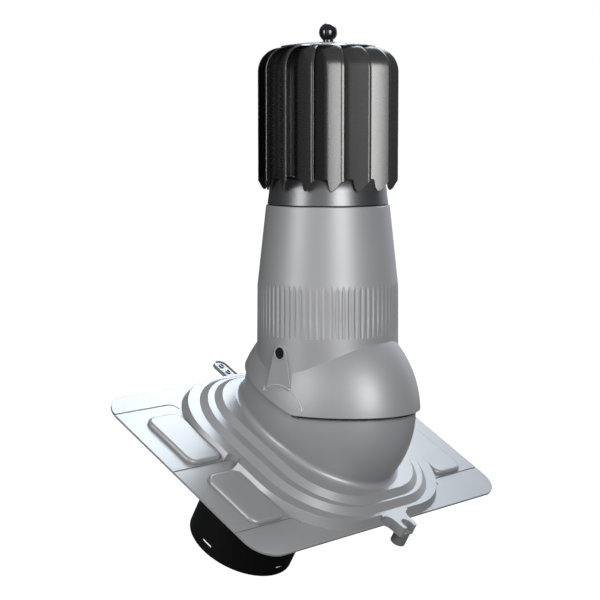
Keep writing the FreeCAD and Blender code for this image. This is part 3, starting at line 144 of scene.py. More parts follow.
# A blade's plan: shares along the panel, then the fold round its corner at 1, and the lip
PANEL_SHARES = [0, 0.12, 0.24, 0.36, 0.44, 0.475, 0.49, 0.5, 0.51, 0.52, 0.535, 0.55, 0.575, 0.605, 0.64,
                0.68, 0.72, 0.76, 0.8, 0.84, 0.88, 0.92, 0.95]
FOLD_STEPS = 5
FOLD_END = 1.03
LIP_SHARES = (0.25, 0.5, 0.75, 1)
LIP_REACH = 0.09
LIP_IN = 0.3 * MM

# A blade's foot: share along the plan, and millimetres from the collar's top flange, below it if negative
FOOT = [(0.0, 0.0), (0.485, 0.0), (0.505, -2.5), (0.525, -7.5), (0.555, -12.0), (0.6, -14.6),
        (0.65, -15.3), (0.72, -14.6), (0.8, -12.2), (0.88, -8.6), (0.95, -5.2), (1.03, -2.9), (1.12, -2.2)]
UPRIGHT_LEVELS = [0.0, 0.04, 0.1, 0.25, 0.5, 0.75, 1.0]
SHOULDER_STEPS = 14
RIM_ROUND = 0.3
RIM_SEGMENTS = 2
RIM_ANGLE = math.radians(50)
LEAST_BLADE_FACES = 100

# The raised tilt arcs: a place outside the casing to look in from, steps, arrowhead lean in degrees
BEYOND_CASING = 0.14
ARC_STEPS = 56
HEAD_STEPS = 5
HEAD_LEAN = 35
BEAD_SIDES = 12

# The camera as solved from the photo, and the object's middle that the lights face
CAMERA_PLACE = (-1.6559, -1.4488, 0.4132)
CAMERA_WAY = Vector((0.7523, 0.6507, -0.1036))
TO_CAMERA = Vector((-0.7564, -0.6542, 0))
TO_RIGHT = Vector((0.6542, -0.7564, 0))
SENSOR_WIDTH = 36
VIEW_END = 200
AIM = Vector((0, -0.05, 0.2))

# Soft boxes: name, power setting, azimuth, elevation, distance, width, height and colour
PANELS = [
    ("strip_right", "key", 24, 13, 1.9, 0.9, 1.15, (1, 1, 1)),
    ("strip_left", "fill", -54, 13, 1.9, 0.6, 1.15, (1, 1, 1)),
    ("panel_front", "front", -18, 15, 2.0, 0.9, 1.2, (1, 1, 1)),
    ("box_back", "back", 160, 46, 2.2, 1.4, 1.15, (0.82, 0.91, 1)),
    ("wall_back", "wall", 148, 30, 2.6, 2.2, 1.8, (0.84, 0.92, 1)),
    ("panel_side", "side", 140, 3, 2.6, 2.2, 1.4, (0.9, 0.95, 1)),
]

# Floor, and the room's light: dimmer from level directions and brighter from steep ones
FLOOR_HALF = 60
FLOOR_GREY = 0.08
FLOOR_ROUGHNESS = 0.9
FLOOR_GLOSS = 0.1
ROOM_COLOUR = (0.92, 0.96, 1.0, 1)
ROOM_LEVEL = 0.1
ROOM_STEEP = 0.75
ROOM_LEVEL_SHARE = 0.35
ROOM_STEEP_SHARE = 1.6


# Settings


class VentRotorSettings(PropertyGroup):
    """Sizes of the turbine's blades, measured from the tilt axis and the stack's axis."""

    count: IntProperty(name="Blades", description="Number of blades round the head", default=15, min=3)
    first: FloatProperty(name="First lip", description="Angle of the first blade's lip from the tilt axis",
                         default=math.radians(16.5), subtype="ANGLE")
    outer: FloatProperty(name="Outer radius", description="Radius of the blades' free edges",
                         default=0.094, unit="LENGTH", subtype="DISTANCE")
    inner: FloatProperty(name="Inner radius", description="Radius of the blades' inner edges",
                         default=0.0722, unit="LENGTH", subtype="DISTANCE")
    sweep: FloatProperty(name="Sweep", description="Angle from a blade's lip back to its inner edge",
                         default=math.radians(26), subtype="ANGLE")
    bow: FloatProperty(name="Bow", description="How far a blade's panel bows out",
                       default=0.0009, unit="LENGTH", subtype="DISTANCE")
    sheet: FloatProperty(name="Sheet", description="Thickness of the sheet metal",
                         default=0.0009, unit="LENGTH", subtype="DISTANCE")
    lip: FloatProperty(name="Lip", description="Width of the folded lip",
                       default=0.0036, unit="LENGTH", subtype="DISTANCE")
    fold: FloatProperty(name="Fold", description="How far the fold's rounding reaches each way",
                        default=0.0009, unit="LENGTH", subtype="DISTANCE")
    seat: FloatProperty(name="Seat", description="Height of the collar's top flange",
                        default=0.3106, unit="LENGTH", subtype="DISTANCE")
    shoulder: FloatProperty(name="Shoulder", description="Height where the blades start to curve over",
                            default=0.4515, unit="LENGTH", subtype="DISTANCE")
    turn: FloatProperty(name="Shoulder radius", description="Radius of the blades' shoulder",
                        default=0.032, unit="LENGTH", subtype="DISTANCE")
    under: FloatProperty(name="Under the cap", description="Radius of the blades' outer edges under the cap",
                         default=0.062, unit="LENGTH", subtype="DISTANCE")


class VentMarkSettings(PropertyGroup):
    """Sizes of the raised arc that shows how the cowl tilts."""

    radius: FloatProperty(name="Arc radius", description="Radius of the raised arc about the tilt axis",
                          default=0.042, unit="LENGTH", subtype="DISTANCE")
    start: FloatProperty(name="Lower end", description="End of the arc on the lower side, from upright",
                         default=math.radians(-75.3), subtype="ANGLE")
    end: FloatProperty(name="Upper end", description="End of the arc on the upper side, from upright",
                       default=math.radians(40.7), subtype="ANGLE")
    bead: FloatProperty(name="Bead", description="Radius of the raised bead",
                        default=0.0009, unit="LENGTH", subtype="DISTANCE")
    head: FloatProperty(name="Arrowhead", description="Length of each stroke of an arrowhead",
                        default=0.0065, unit="LENGTH", subtype="DISTANCE")


class VentFinishSettings(PropertyGroup):
    """Colours and gloss of the finishes."""

    moulded: FloatVectorProperty(name="Moulded grey", description="Colour of the grey moulded plastic",
                                 default=(0.15, 0.151, 0.156), subtype="COLOR", min=0, max=1)
    spacer: FloatVectorProperty(name="Spacer grey", description="Colour of the spacer under the front lug",
                                default=(0.085, 0.087, 0.092), subtype="COLOR", min=0, max=1)
    black: FloatVectorProperty(name="Black", description="Colour of the black moulded plastic",
                               default=(0.004, 0.004, 0.0044), subtype="COLOR", min=0, max=1)
    graphite: FloatVectorProperty(name="Graphite", description="Colour of the blades' coating",
                                  default=(0.057, 0.0563, 0.0558), subtype="COLOR", min=0, max=1)
    collar: FloatVectorProperty(name="Collar metal", description="Colour of the collar's satin metal",
                                default=(0.09, 0.092, 0.095), subtype="COLOR", min=0, max=1)
    cap: FloatVectorProperty(name="Cap metal", description="Colour of the cap",
                             default=(0.14, 0.155, 0.17), subtype="COLOR", min=0, max=1)


class VentStudioSettings(PropertyGroup):
    """Light and floor of the studio."""

    key: FloatProperty(name="Right strip", description="Power of the strip light right of the camera",
                       default=50.0, min=0, unit="POWER")
    fill: FloatProperty(name="Left strip", description="Power of the strip light left of the camera",
                        default=27.0, min=0, unit="POWER")
    front: FloatProperty(name="Front panel", description="Power of the weak broad light between the strips",
                         default=4.0, min=0, unit="POWER")
    back: FloatProperty(name="Back box", description="Power of the strong light high behind the object",
                        default=50.0, min=0, unit="POWER")
    wall: FloatProperty(name="Back wall", description="Power of the broad pale light behind on the right",
                        default=14.0, min=0, unit="POWER")
    side: FloatProperty(name="Side panel", description="Power of the pale panel behind on the right",
                        default=10.0, min=0, unit="POWER")
    room: FloatProperty(name="Room", description="Strength of the light that comes from all round",
                        default=0.2, min=0)
    lens: FloatProperty(name="Lens", description="Focal length of the camera", default=96.2,
                        unit="CAMERA", min=1)


# Shader groups and materials


def new_group(name, inputs, outputs):
    """An empty shader group with its sockets, and its input and output nodes."""
    group = bpy.data.node_groups.new(name, "ShaderNodeTree")
    for label, kind, default in inputs:
        socket = group.interface.new_socket(name=label, in_out="INPUT", socket_type=kind)
        if default is not None:
            socket.default_value = default
    for label, kind in outputs:
        group.interface.new_socket(name=label, in_out="OUTPUT", socket_type=kind)
    return group, group.nodes.new("NodeGroupInput"), group.nodes.new("NodeGroupOutput")


def math_node(tree, operation, first, second, clamp=False):
    """The result of a maths operation on two values; each is a number or a socket."""
    node = tree.nodes.new("ShaderNodeMath")
    node.operation = operation
    node.use_clamp = clamp
    for socket, value in zip(node.inputs, (first, second)):
        if isinstance(value, (int, float)):
            socket.default_value = value
        else:
            tree.links.new(value, socket)
    return node.outputs[0]


def noise_node(tree, vector, scale, detail=2.0, rough=0.5):
    """A noise value at a place; the scale is a number or a socket."""
    node = tree.nodes.new("ShaderNodeTexNoise")
    node.inputs["Detail"].default_value = detail
    node.inputs["Roughness"].default_value = rough
    tree.links.new(vector, node.inputs["Vector"])
    if isinstance(scale, (int, float)):
        node.inputs["Scale"].default_value = scale
    else:
        tree.links.new(scale, node.inputs["Scale"])
    return node.outputs["Fac"]


def map_range(tree, value, low, high, new_low, new_high):
    """A value moved from one range to another; each end is a number or a socket."""
    node = tree.nodes.new("ShaderNodeMapRange")
    for label, number in (("From Min", low), ("From Max", high), ("To Min", new_low), ("To Max", new_high)):
        if isinstance(number, (int, float)):
            node.inputs[label].default_value = number
        else:
            tree.links.new(number, node.inputs[label])
    tree.links.new(value, node.inputs["Value"])
    return node.outputs["Result"]


def make_grain_group():
    """Fine moulded or sprayed grain, with a slow unevenness over the surface."""
    group, given, result = new_group(
        "Surface Grain",
        [("Vector", "NodeSocketVector", None), ("Grain Size", "NodeSocketFloat", 1500.0),
         ("Cloud Size", "NodeSocketFloat", 9.0)],
        [("Grain", "NodeSocketFloat"), ("Cloud", "NodeSocketFloat")])
    fine = noise_node(group, given.outputs["Vector"], given.outputs["Grain Size"], 2.0, 0.6)
    slow = noise_node(group, given.outputs["Vector"], given.outputs["Cloud Size"], 3.0, 0.55)
    group.links.new(fine, result.inputs["Grain"])
    group.links.new(slow, result.inputs["Cloud"])
    return group


def make_edge_group():
    """Rounded corners for the shading, and a mask of the edges, polished by handling and painted lighter as a
    highlight.
    """
    group, given, result = new_group(
        "Worn Edges",
        [("Vector", "NodeSocketVector", None), ("Width", "NodeSocketFloat", 0.001),
         ("Break Up", "NodeSocketFloat", 60.0)],
        [("Edge", "NodeSocketFloat"), ("Normal", "NodeSocketVector")])
    bevel = group.nodes.new("ShaderNodeBevel")
    bevel.samples = EDGE_SAMPLES
    group.links.new(given.outputs["Width"], bevel.inputs["Radius"])
    surface = group.nodes.new("ShaderNodeNewGeometry")
    likeness = group.nodes.new("ShaderNodeVectorMath")
    likeness.operation = "DOT_PRODUCT"
    group.links.new(bevel.outputs["Normal"], likeness.inputs[0])
    group.links.new(surface.outputs["Normal"], likeness.inputs[1])
    edge = map_range(group, likeness.outputs["Value"], 0.995, 0.85, 0.0, 1.0)
    patchy = noise_node(group, given.outputs["Vector"], given.outputs["Break Up"], 3.0)
    patchy = map_range(group, patchy, 0.3, 0.6, 0.35, 1.0)
    group.links.new(math_node(group, "MULTIPLY", edge, patchy, clamp=True), result.inputs["Edge"])
    group.links.new(bevel.outputs["Normal"], result.inputs["Normal"])
    return group


def make_brush_group():
    """Lines left round a turned or rolled sheet."""
    group, given, result = new_group(
        "Brushed Lines",
        [("Vector", "NodeSocketVector", None), ("Along", "NodeSocketFloat", 6.0),
         ("Across", "NodeSocketFloat", 900.0)],
        [("Lines", "NodeSocketFloat")])
    spread = group.nodes.new("ShaderNodeCombineXYZ")
    group.links.new(given.outputs["Along"], spread.inputs["X"])
    group.links.new(given.outputs["Along"], spread.inputs["Y"])
    group.links.new(given.outputs["Across"], spread.inputs["Z"])
    scaled = group.nodes.new("ShaderNodeVectorMath")
    scaled.operation = "MULTIPLY"
    group.links.new(given.outputs["Vector"], scaled.inputs[0])
    group.links.new(spread.outputs["Vector"], scaled.inputs[1])
    group.links.new(noise_node(group, scaled.outputs["Vector"], 1.0, 4.0, 0.65), result.inputs["Lines"])
    return group


def make_dust_group():
    """Fine dust that settles on what faces up, in uneven patches."""
    group, given, result = new_group(
        "Settled Dust",
        [("Vector", "NodeSocketVector", None), ("Patch Size", "NodeSocketFloat", 22.0)],
        [("Dust", "NodeSocketFloat")])
    surface = group.nodes.new("ShaderNodeNewGeometry")
    split = group.nodes.new("ShaderNodeSeparateXYZ")
    group.links.new(surface.outputs["Normal"], split.inputs["Vector"])
    up = map_range(group, split.outputs["Z"], 0.3, 1.0, 0.0, 1.0)
    patch = noise_node(group, given.outputs["Vector"], given.outputs["Patch Size"], 5.0, 0.6)
    patch = map_range(group, patch, 0.4, 0.75, 0.0, 1.0)
    group.links.new(math_node(group, "MULTIPLY", up, patch, clamp=True), result.inputs["Dust"])
    return group


def make_gap_shade_group():
    """Mask for painted shade: what is shut in between close walls, from its open share of the sky within a
    reach.
    """
    group, given, result = new_group(
        "Shut In",
        [("Reach", "NodeSocketFloat", 0.0015), ("Shut", "NodeSocketFloat", 0.58),
         ("Open", "NodeSocketFloat", 0.72)],
        [("Gap", "NodeSocketFloat")])
    light = group.nodes.new("ShaderNodeAmbientOcclusion")
    light.samples = GAP_SAMPLES
    group.links.new(given.outputs["Reach"], light.inputs["Distance"])
    shut = map_range(group, light.outputs["AO"], given.outputs["Open"], given.outputs["Shut"], 0.0, 1.0)
    group.links.new(shut, result.inputs["Gap"])
    return group


def placed(tree, group, vector, **values):
    """A group node in a material, fed with coordinates where the group takes them."""
    node = tree.nodes.new("ShaderNodeGroup")
    node.node_tree = group
    if vector is not None:
        tree.links.new(vector, node.inputs["Vector"])
    for label, value in values.items():
        node.inputs[label.replace("_", " ")].default_value = value
    return node


def tinted(tree, shade, low, high, colour):
    """The colour, darker and lighter with a mask."""
    ramp = tree.nodes.new("ShaderNodeMix")
    ramp.data_type = "RGBA"
    ramp.inputs[MIX_BELOW].default_value = [c * low for c in colour] + [1]
    ramp.inputs[MIX_ABOVE].default_value = [min(1, c * high) for c in colour] + [1]
    tree.links.new(shade, ramp.inputs[MIX_FACTOR])
    return ramp.outputs[MIX_RESULT]


def over(tree, mask, below, colour):
    """A flat colour laid over another where the mask says."""
    mix = tree.nodes.new("ShaderNodeMix")
    mix.data_type = "RGBA"
    tree.links.new(mask, mix.inputs[MIX_FACTOR])
    tree.links.new(below, mix.inputs[MIX_BELOW])
    mix.inputs[MIX_ABOVE].default_value = list(colour) + [1]
    return mix.outputs[MIX_RESULT]


def start_material(name, centre=None):
    """A material with its tree, its shader and its object coordinates, from a centre if one is given."""
    made = bpy.data.materials.new(name)
    made.use_nodes = True
    tree = made.node_tree
    shader = tree.nodes["Principled BSDF"]
    coordinates = tree.nodes.new("ShaderNodeTexCoord").outputs["Object"]
    if centre is not None:
        mapping = tree.nodes.new("ShaderNodeMapping")
        mapping.inputs["Location"].default_value = [-c for c in centre]
        tree.links.new(coordinates, mapping.inputs["Vector"])
        coordinates = mapping.outputs["Vector"]
    return made, tree, shader, coordinates


def add_bump(tree, shader, height, strength, distance, normal=None):
    """Fine relief for the shader, on top of rounded corners if their normal is given."""
    bump = tree.nodes.new("ShaderNodeBump")
    bump.inputs["Strength"].default_value = strength
    bump.inputs["Distance"].default_value = distance
    tree.links.new(height, bump.inputs["Height"])
    if normal is not None:
        tree.links.new(normal, bump.inputs["Normal"])
    tree.links.new(bump.outputs["Normal"], shader.inputs["Normal"])


def moulded_plastic(name, groups, colour, rough, gloss=0.5, edge=0.0007, lift=1.45, dust=0.0, grain=0.25,
                    gap_at=None):
    """Moulded plastic: fine grain, slow clouding, polished edges with a painted highlight, and a little dust.

    With gap_at, the tilt axis, shade is painted into the gap under the hem and into fine grooves, which also
    lose their gloss.
    """
    made, tree, shader, where = start_material(name, gap_at)
    texture = placed(tree, groups["grain"], where, Grain_Size=1400.0, Cloud_Size=8.0)
    edge_wear_and_highlight = placed(tree, groups["edge"], where, Width=edge, Break_Up=45.0)
    shade = tinted(tree, texture.outputs["Cloud"], 0.95, 1.05, colour)
    # Edges painted lighter: wear, and a painted highlight on their rims
    shade = over(tree, math_node(tree, "MULTIPLY", edge_wear_and_highlight.outputs["Edge"], PLASTIC_WEAR_AND_HIGHLIGHT), shade,
                 [min(1, c * lift) for c in colour])
    if dust:
        settled = placed(tree, groups["dust"], where, Patch_Size=18.0)
        shade = over(tree, math_node(tree, "MULTIPLY", settled.outputs["Dust"], dust), shade,
                     [min(1, c * DUST_LIFT) for c in colour])
    shader.inputs["Specular IOR Level"].default_value = gloss
    # Painted shade: the gap under the hem and fine grooves are painted nearly black, and their gloss is taken
    # away
    if gap_at is not None:
        split = tree.nodes.new("ShaderNodeSeparateXYZ")
        tree.links.new(where, split.inputs["Vector"])
        here = math_node(tree, "MULTIPLY", math_node(tree, "GREATER_THAN", split.outputs["Z"], GAP_ABOVE),
                         math_node(tree, "LESS_THAN", split.outputs["Y"], GAP_IN_FRONT))
        wide = placed(tree, groups["gap"], None, Reach=GAP_REACH, Shut=GAP_SHUT, Open=GAP_OPEN)
        hem = math_node(tree, "MULTIPLY", wide.outputs["Gap"], here)
        fine = placed(tree, groups["gap"], None)
        groove_shade = math_node(tree, "MULTIPLY", fine.outputs["Gap"], GROOVE_SHADE_STRENGTH)
        shade_paint = math_node(tree, "MAXIMUM", hem, groove_shade)
        shade = over(tree, shade_paint, shade, [c * GAP_SHADE for c in colour])
        tree.links.new(map_range(tree, shade_paint, 0.0, 1.0, gloss, 0.0), shader.inputs["Specular IOR Level"])
    tree.links.new(shade, shader.inputs["Base Color"])
    roughness = map_range(tree, texture.outputs["Cloud"], 0.3, 0.7, rough - PLASTIC_STRAY,
                          rough + PLASTIC_STRAY)
    tree.links.new(roughness, shader.inputs["Roughness"])
    add_bump(tree, shader, texture.outputs["Grain"], grain, PLASTIC_GRAIN, edge_wear_and_highlight.outputs["Normal"])
    return made


def sheet_metal(name, groups, colour, rough, metallic=1.0, coat=0.0, edge=0.0005, lift=2.2,
                along=6.0, across=900.0, lines=0.12, centre=None, tint=1.0):
    """Rolled or turned metal: brushed lines, clouding and bright edges, from wear and a painted highlight."""
    made, tree, shader, where = start_material(name, centre)
    texture = placed(tree, groups["grain"], where, Grain_Size=1800.0, Cloud_Size=14.0)
    edge_wear_and_highlight = placed(tree, groups["edge"], where, Width=edge, Break_Up=70.0)
    brushed = placed(tree, groups["brush"], where, Along=along, Across=across)
    shade = tinted(tree, texture.outputs["Cloud"], 0.93, 1.07, colour)
    # Edges painted lighter: wear, and a painted highlight on their rims
    shade = over(tree, math_node(tree, "MULTIPLY", edge_wear_and_highlight.outputs["Edge"], METAL_WEAR_AND_HIGHLIGHT), shade,
                 [min(1, c * lift) for c in colour])
    tree.links.new(shade, shader.inputs["Base Color"])
    roughness = map_range(tree, brushed.outputs["Lines"], 0.25, 0.75, rough - METAL_STRAY,
                          rough + METAL_STRAY)
    tree.links.new(roughness, shader.inputs["Roughness"])
    shader.inputs["Metallic"].default_value = metallic
    shader.inputs["Specular Tint"].default_value = (tint, tint, tint, 1)
    shader.inputs["Coat Weight"].default_value = coat
    shader.inputs["Coat Roughness"].default_value = COAT_ROUGHNESS
    height = math_node(tree, "ADD", brushed.outputs["Lines"], texture.outputs["Grain"])
    add_bump(tree, shader, height, lines, METAL_GRAIN, edge_wear_and_highlight.outputs["Normal"])
    return made


def soft_rubber(name, groups, colour):
    """Matte rubber with a fine grain."""
    made, tree, shader, where = start_material(name)
    texture = placed(tree, groups["grain"], where, Grain_Size=900.0, Cloud_Size=20.0)
    tree.links.new(tinted(tree, texture.outputs["Cloud"], 0.8, 1.2, colour), shader.inputs["Base Color"])
    roughness = map_range(tree, texture.outputs["Grain"], 0.2, 0.8, 0.72, 0.88)
    tree.links.new(roughness, shader.inputs["Roughness"])
    add_bump(tree, shader, texture.outputs["Grain"], 0.4, RUBBER_GRAIN)
    return made


# Geometry trees


def new_tree(name, inputs):
    """An empty geometry tree with its sockets; returns it with the input node and the output node."""
    tree = bpy.data.node_groups.new(name, "GeometryNodeTree")
    tree.interface.new_socket(name="Geometry", in_out="INPUT", socket_type="NodeSocketGeometry")
    for label, kind in inputs:
        tree.interface.new_socket(name=label, in_out="INPUT", socket_type=kind)
    tree.interface.new_socket(name="Geometry", in_out="OUTPUT", socket_type="NodeSocketGeometry")
    return tree, tree.nodes.new("NodeGroupInput"), tree.nodes.new("NodeGroupOutput")


def finish_tree(tree, geometry, given, result):
    """Real geometry with its material, as the export needs it."""
    real = tree.nodes.new("GeometryNodeRealizeInstances")
    painted = tree.nodes.new("GeometryNodeSetMaterial")
    tree.links.new(geometry, real.inputs["Geometry"])
    tree.links.new(real.outputs["Geometry"], painted.inputs["Geometry"])
    tree.links.new(given.outputs["Material"], painted.inputs["Material"])
    tree.links.new(painted.outputs["Geometry"], result.inputs["Geometry"])


def ring_tree():
    """Copies of one blade, evenly round the stack's axis."""
    tree, given, result = new_tree("Ring of Blades", [
        ("Count", "NodeSocketInt"), ("First Angle", "NodeSocketFloat"), ("Centre", "NodeSocketVector"),
        ("Material", "NodeSocketMaterial")])
    points = tree.nodes.new("GeometryNodePoints")
    tree.links.new(given.outputs["Count"], points.inputs["Count"])
    tree.links.new(given.outputs["Centre"], points.inputs["Position"])
    number = tree.nodes.new("GeometryNodeInputIndex").outputs["Index"]
    step = math_node(tree, "DIVIDE", math.tau, given.outputs["Count"])
    angle = math_node(tree, "ADD", math_node(tree, "MULTIPLY", number, step), given.outputs["First Angle"])
    turn = tree.nodes.new("ShaderNodeCombineXYZ")
    tree.links.new(angle, turn.inputs["Z"])
    copies = tree.nodes.new("GeometryNodeInstanceOnPoints")
    tree.links.new(points.outputs["Points"], copies.inputs["Points"])
    tree.links.new(given.outputs["Geometry"], copies.inputs["Instance"])
    tree.links.new(turn.outputs["Vector"], copies.inputs["Rotation"])
    finish_tree(tree, copies.outputs["Instances"], given, result)
    return tree


def bead_tree():
    """A round bead along the edges of a mesh, half sunk in the surface that they lie on."""
    tree, given, result = new_tree("Raised Bead", [
        ("Radius", "NodeSocketFloat"), ("Material", "NodeSocketMaterial")])
    path = tree.nodes.new("GeometryNodeMeshToCurve")
    profile = tree.nodes.new("GeometryNodeCurvePrimitiveCircle")
    profile.inputs["Resolution"].default_value = BEAD_SIDES
    bead = tree.nodes.new("GeometryNodeCurveToMesh")
    bead.inputs["Fill Caps"].default_value = True
    smooth = tree.nodes.new("GeometryNodeSetShadeSmooth")
    tree.links.new(given.outputs["Radius"], profile.inputs["Radius"])
    tree.links.new(given.outputs["Geometry"], path.inputs["Mesh"])
    tree.links.new(path.outputs["Curve"], bead.inputs["Curve"])
    tree.links.new(profile.outputs["Curve"], bead.inputs["Profile Curve"])
    tree.links.new(bead.outputs["Mesh"], smooth.inputs["Geometry"])
    finish_tree(tree, smooth.outputs["Geometry"], given, result)
    return tree


def grown(name, seed, tree, values):
    """The plain mesh object that a geometry tree makes from a seed mesh."""
    source = bpy.data.objects.new(name + "_seed", seed)
    bpy.context.scene.collection.objects.link(source)
    modifier = source.modifiers.new("Grow", "NODES")
    modifier.node_group = tree
    for item in tree.interface.items_tree:
        if item.in_out == "INPUT" and item.name in values:
            modifier[item.identifier] = values[item.name]
    ready = source.evaluated_get(bpy.context.evaluated_depsgraph_get())
    mesh = bpy.data.meshes.new_from_object(ready)
    mesh.name = name
    made = bpy.data.objects.new(name, mesh)
    bpy.context.scene.collection.objects.link(made)
    bpy.data.objects.remove(source)
    return made


# Blades


def eased(points, where):
    """A smooth curve through (place, value) points."""
    for (x0, y0), (x1, y1) in zip(points, points[1:]):
        if where <= x1:
            share = (where - x0) / (x1 - x0)
            share = share * share * (3 - 2 * share)
            return y0 + (y1 - y0) * share
    return points[-1][1]


def blade_columns(sizes):
    """The blade's plan: (place, share along the panel), the panel first and then the folded lip."""
    inner = Vector((sizes.inner * math.cos(sizes.sweep), -sizes.inner * math.sin(sizes.sweep), 0))
    fold = Vector((sizes.outer - LIP_IN, -sizes.lip, 0))
    free = Vector((sizes.outer, 0, 0))
    run = fold - inner
    outward = Vector((run.y, -run.x, 0)).normalized()
    last = 1 - sizes.fold / run.length
    columns = [(inner + run * share + outward * (4 * sizes.bow * share * (1 - share)), share)
               for share in PANEL_SHARES + [last]]
    panel_end = columns[-1][0]
    lip_start = fold + (free - fold).normalized() * sizes.fold
    for step in range(1, FOLD_STEPS + 1):
        share = step / FOLD_STEPS
        place = panel_end * (1 - share) ** 2 + fold * (2 * share * (1 - share)) + lip_start * share ** 2
        columns.append((place, last + (FOLD_END - last) * share))
    columns += [(lip_start.lerp(free, share), FOLD_END + LIP_REACH * share) for share in LIP_SHARES]
    return columns


def blade_seed(sizes):
    """One formed blade as a closed sheet about the stack's axis, its lip on the local x axis."""
    columns = blade_columns(sizes)
    rows = []
    outer = sizes.outer
    for level in UPRIGHT_LEVELS:
        row = []
        for place, share in columns:
            low = sizes.seat + eased(FOOT, share) * MM
            row.append(Vector((place.x, place.y, low + (sizes.shoulder - low) * level)))
        rows.append(row)
    for step in range(1, SHOULDER_STEPS + 1):
        angle = math.radians(90 * step / SHOULDER_STEPS)
        scale = (sizes.under + (outer - sizes.under) * math.cos(angle)) / outer
        height = sizes.shoulder + sizes.turn * math.sin(angle)
        rows.append([Vector((place.x * scale, place.y * scale, height)) for place, share in columns])
    sheet = bmesh.new()
    grid = [[sheet.verts.new(point) for point in row] for row in rows]
    for low, high in zip(grid, grid[1:]):
        for k in range(len(low) - 1):
            sheet.faces.new((low[k], low[k + 1], high[k + 1], high[k]))
    mesh = bpy.data.meshes.new("blade_seed")
    for face in sheet.faces:
        face.smooth = True
    sheet.to_mesh(mesh)
    sheet.free()
    holder = bpy.data.objects.new("blade_holder", mesh)
    bpy.context.scene.collection.objects.link(holder)
    wall = holder.modifiers.new("Sheet", "SOLIDIFY")
    wall.thickness = sizes.sheet
    wall.offset = -1
    wall.use_even_offset = True
    rim = holder.modifiers.new("Rim", "BEVEL")
    rim.width = sizes.sheet * RIM_ROUND
    rim.segments = RIM_SEGMENTS
    rim.limit_method = "ANGLE"
    rim.angle_limit = RIM_ANGLE
    rim.harden_normals = True
    ready = holder.evaluated_get(bpy.context.evaluated_depsgraph_get())
    solid = bpy.data.meshes.new_from_object(ready)
    bpy.data.objects.remove(holder)
    return solid


class VENT_OT_blades(Operator):
    """Makes the ring of formed blades that stands for the plain ones"""

    bl_idname = "vent.blades"
    bl_label = "Turbine Blades"

    def execute(self, context):
        sizes = context.scene.vent_rotor
        finish = bpy.data.materials["Graphite coated sheet"]
        seed = blade_seed(sizes)
        ring = grown("rotor_blades", seed, ring_tree(), {
            "Count": sizes.count, "First Angle": sizes.first, "Centre": tuple(PIVOT), "Material": finish})
        if len(ring.data.polygons) < sizes.count * LEAST_BLADE_FACES:
            raise RuntimeError("the ring of blades is empty")
        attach(ring, "rotor")
        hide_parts(*[name for name in NODES if name.startswith("rotor_blade_")])
        return {"FINISHED"}


# Moulded marks


def on_casing(tree, side, y, z):
    """The casing's outer surface beside the tilt axis, at a height and a place along the slope."""
    start = Vector((BEYOND_CASING * side, PIVOT.y + y, PIVOT.z + z))
    hit = tree.ray_cast(start, Vector((-side, 0, 0)))[0]
    if hit is None:
        raise RuntimeError("the tilt arc leaves the casing")
    return hit


def arc_seed(sizes):
    """Edges of both raised arcs and their arrowheads, laid on the casing."""
    casing = NODES["cowl_casing"].data
    tree = BVHTree.FromPolygons([v.co for v in casing.vertices], [tuple(p.vertices) for p in casing.polygons])
    lines = bmesh.new()

    def draw(side, points):
        """A chain of edges on one side of the casing."""
        corners = [lines.verts.new(on_casing(tree, side, y, z)) for y, z in points]
        for first, second in zip(corners, corners[1:]):
            lines.edges.new((first, second))

    def spot(angle):
        """A place on the arc, at an angle from upright."""
        return math.sin(angle) * sizes.radius, math.cos(angle) * sizes.radius

    span = sizes.end - sizes.start
    for side in (1, -1):
        draw(side, [spot(sizes.start + span * k / ARC_STEPS) for k in range(ARC_STEPS + 1)])
        for end, way in ((sizes.start, 1), (sizes.end, -1)):
            y, z = spot(end)
            for lean in (-HEAD_LEAN, HEAD_LEAN):
                angle = end + way * math.radians(90 + lean)
                reach = [sizes.head * k / HEAD_STEPS for k in range(HEAD_STEPS + 1)]
                draw(side, [(y + math.sin(angle) * r, z + math.cos(angle) * r) for r in reach])
    mesh = bpy.data.meshes.new("arc_seed")
    lines.to_mesh(mesh)
    lines.free()
    return mesh


class VENT_OT_tilt_arcs(Operator):
    """Makes the raised arcs with arrowheads that show how the cowl tilts"""

    bl_idname = "vent.tilt_arcs"
    bl_label = "Tilt Arcs"

    def execute(self, context):
        sizes = context.scene.vent_marks
        # The beads take the grey plastic painted lighter, a painted highlight
        finish = bpy.data.materials["Grey moulded marks"]
        marks = grown("tilt_arcs", arc_seed(sizes), bead_tree(), {"Radius": sizes.bead, "Material": finish})
        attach(marks, "cowl")
        return {"FINISHED"}


# Finishes


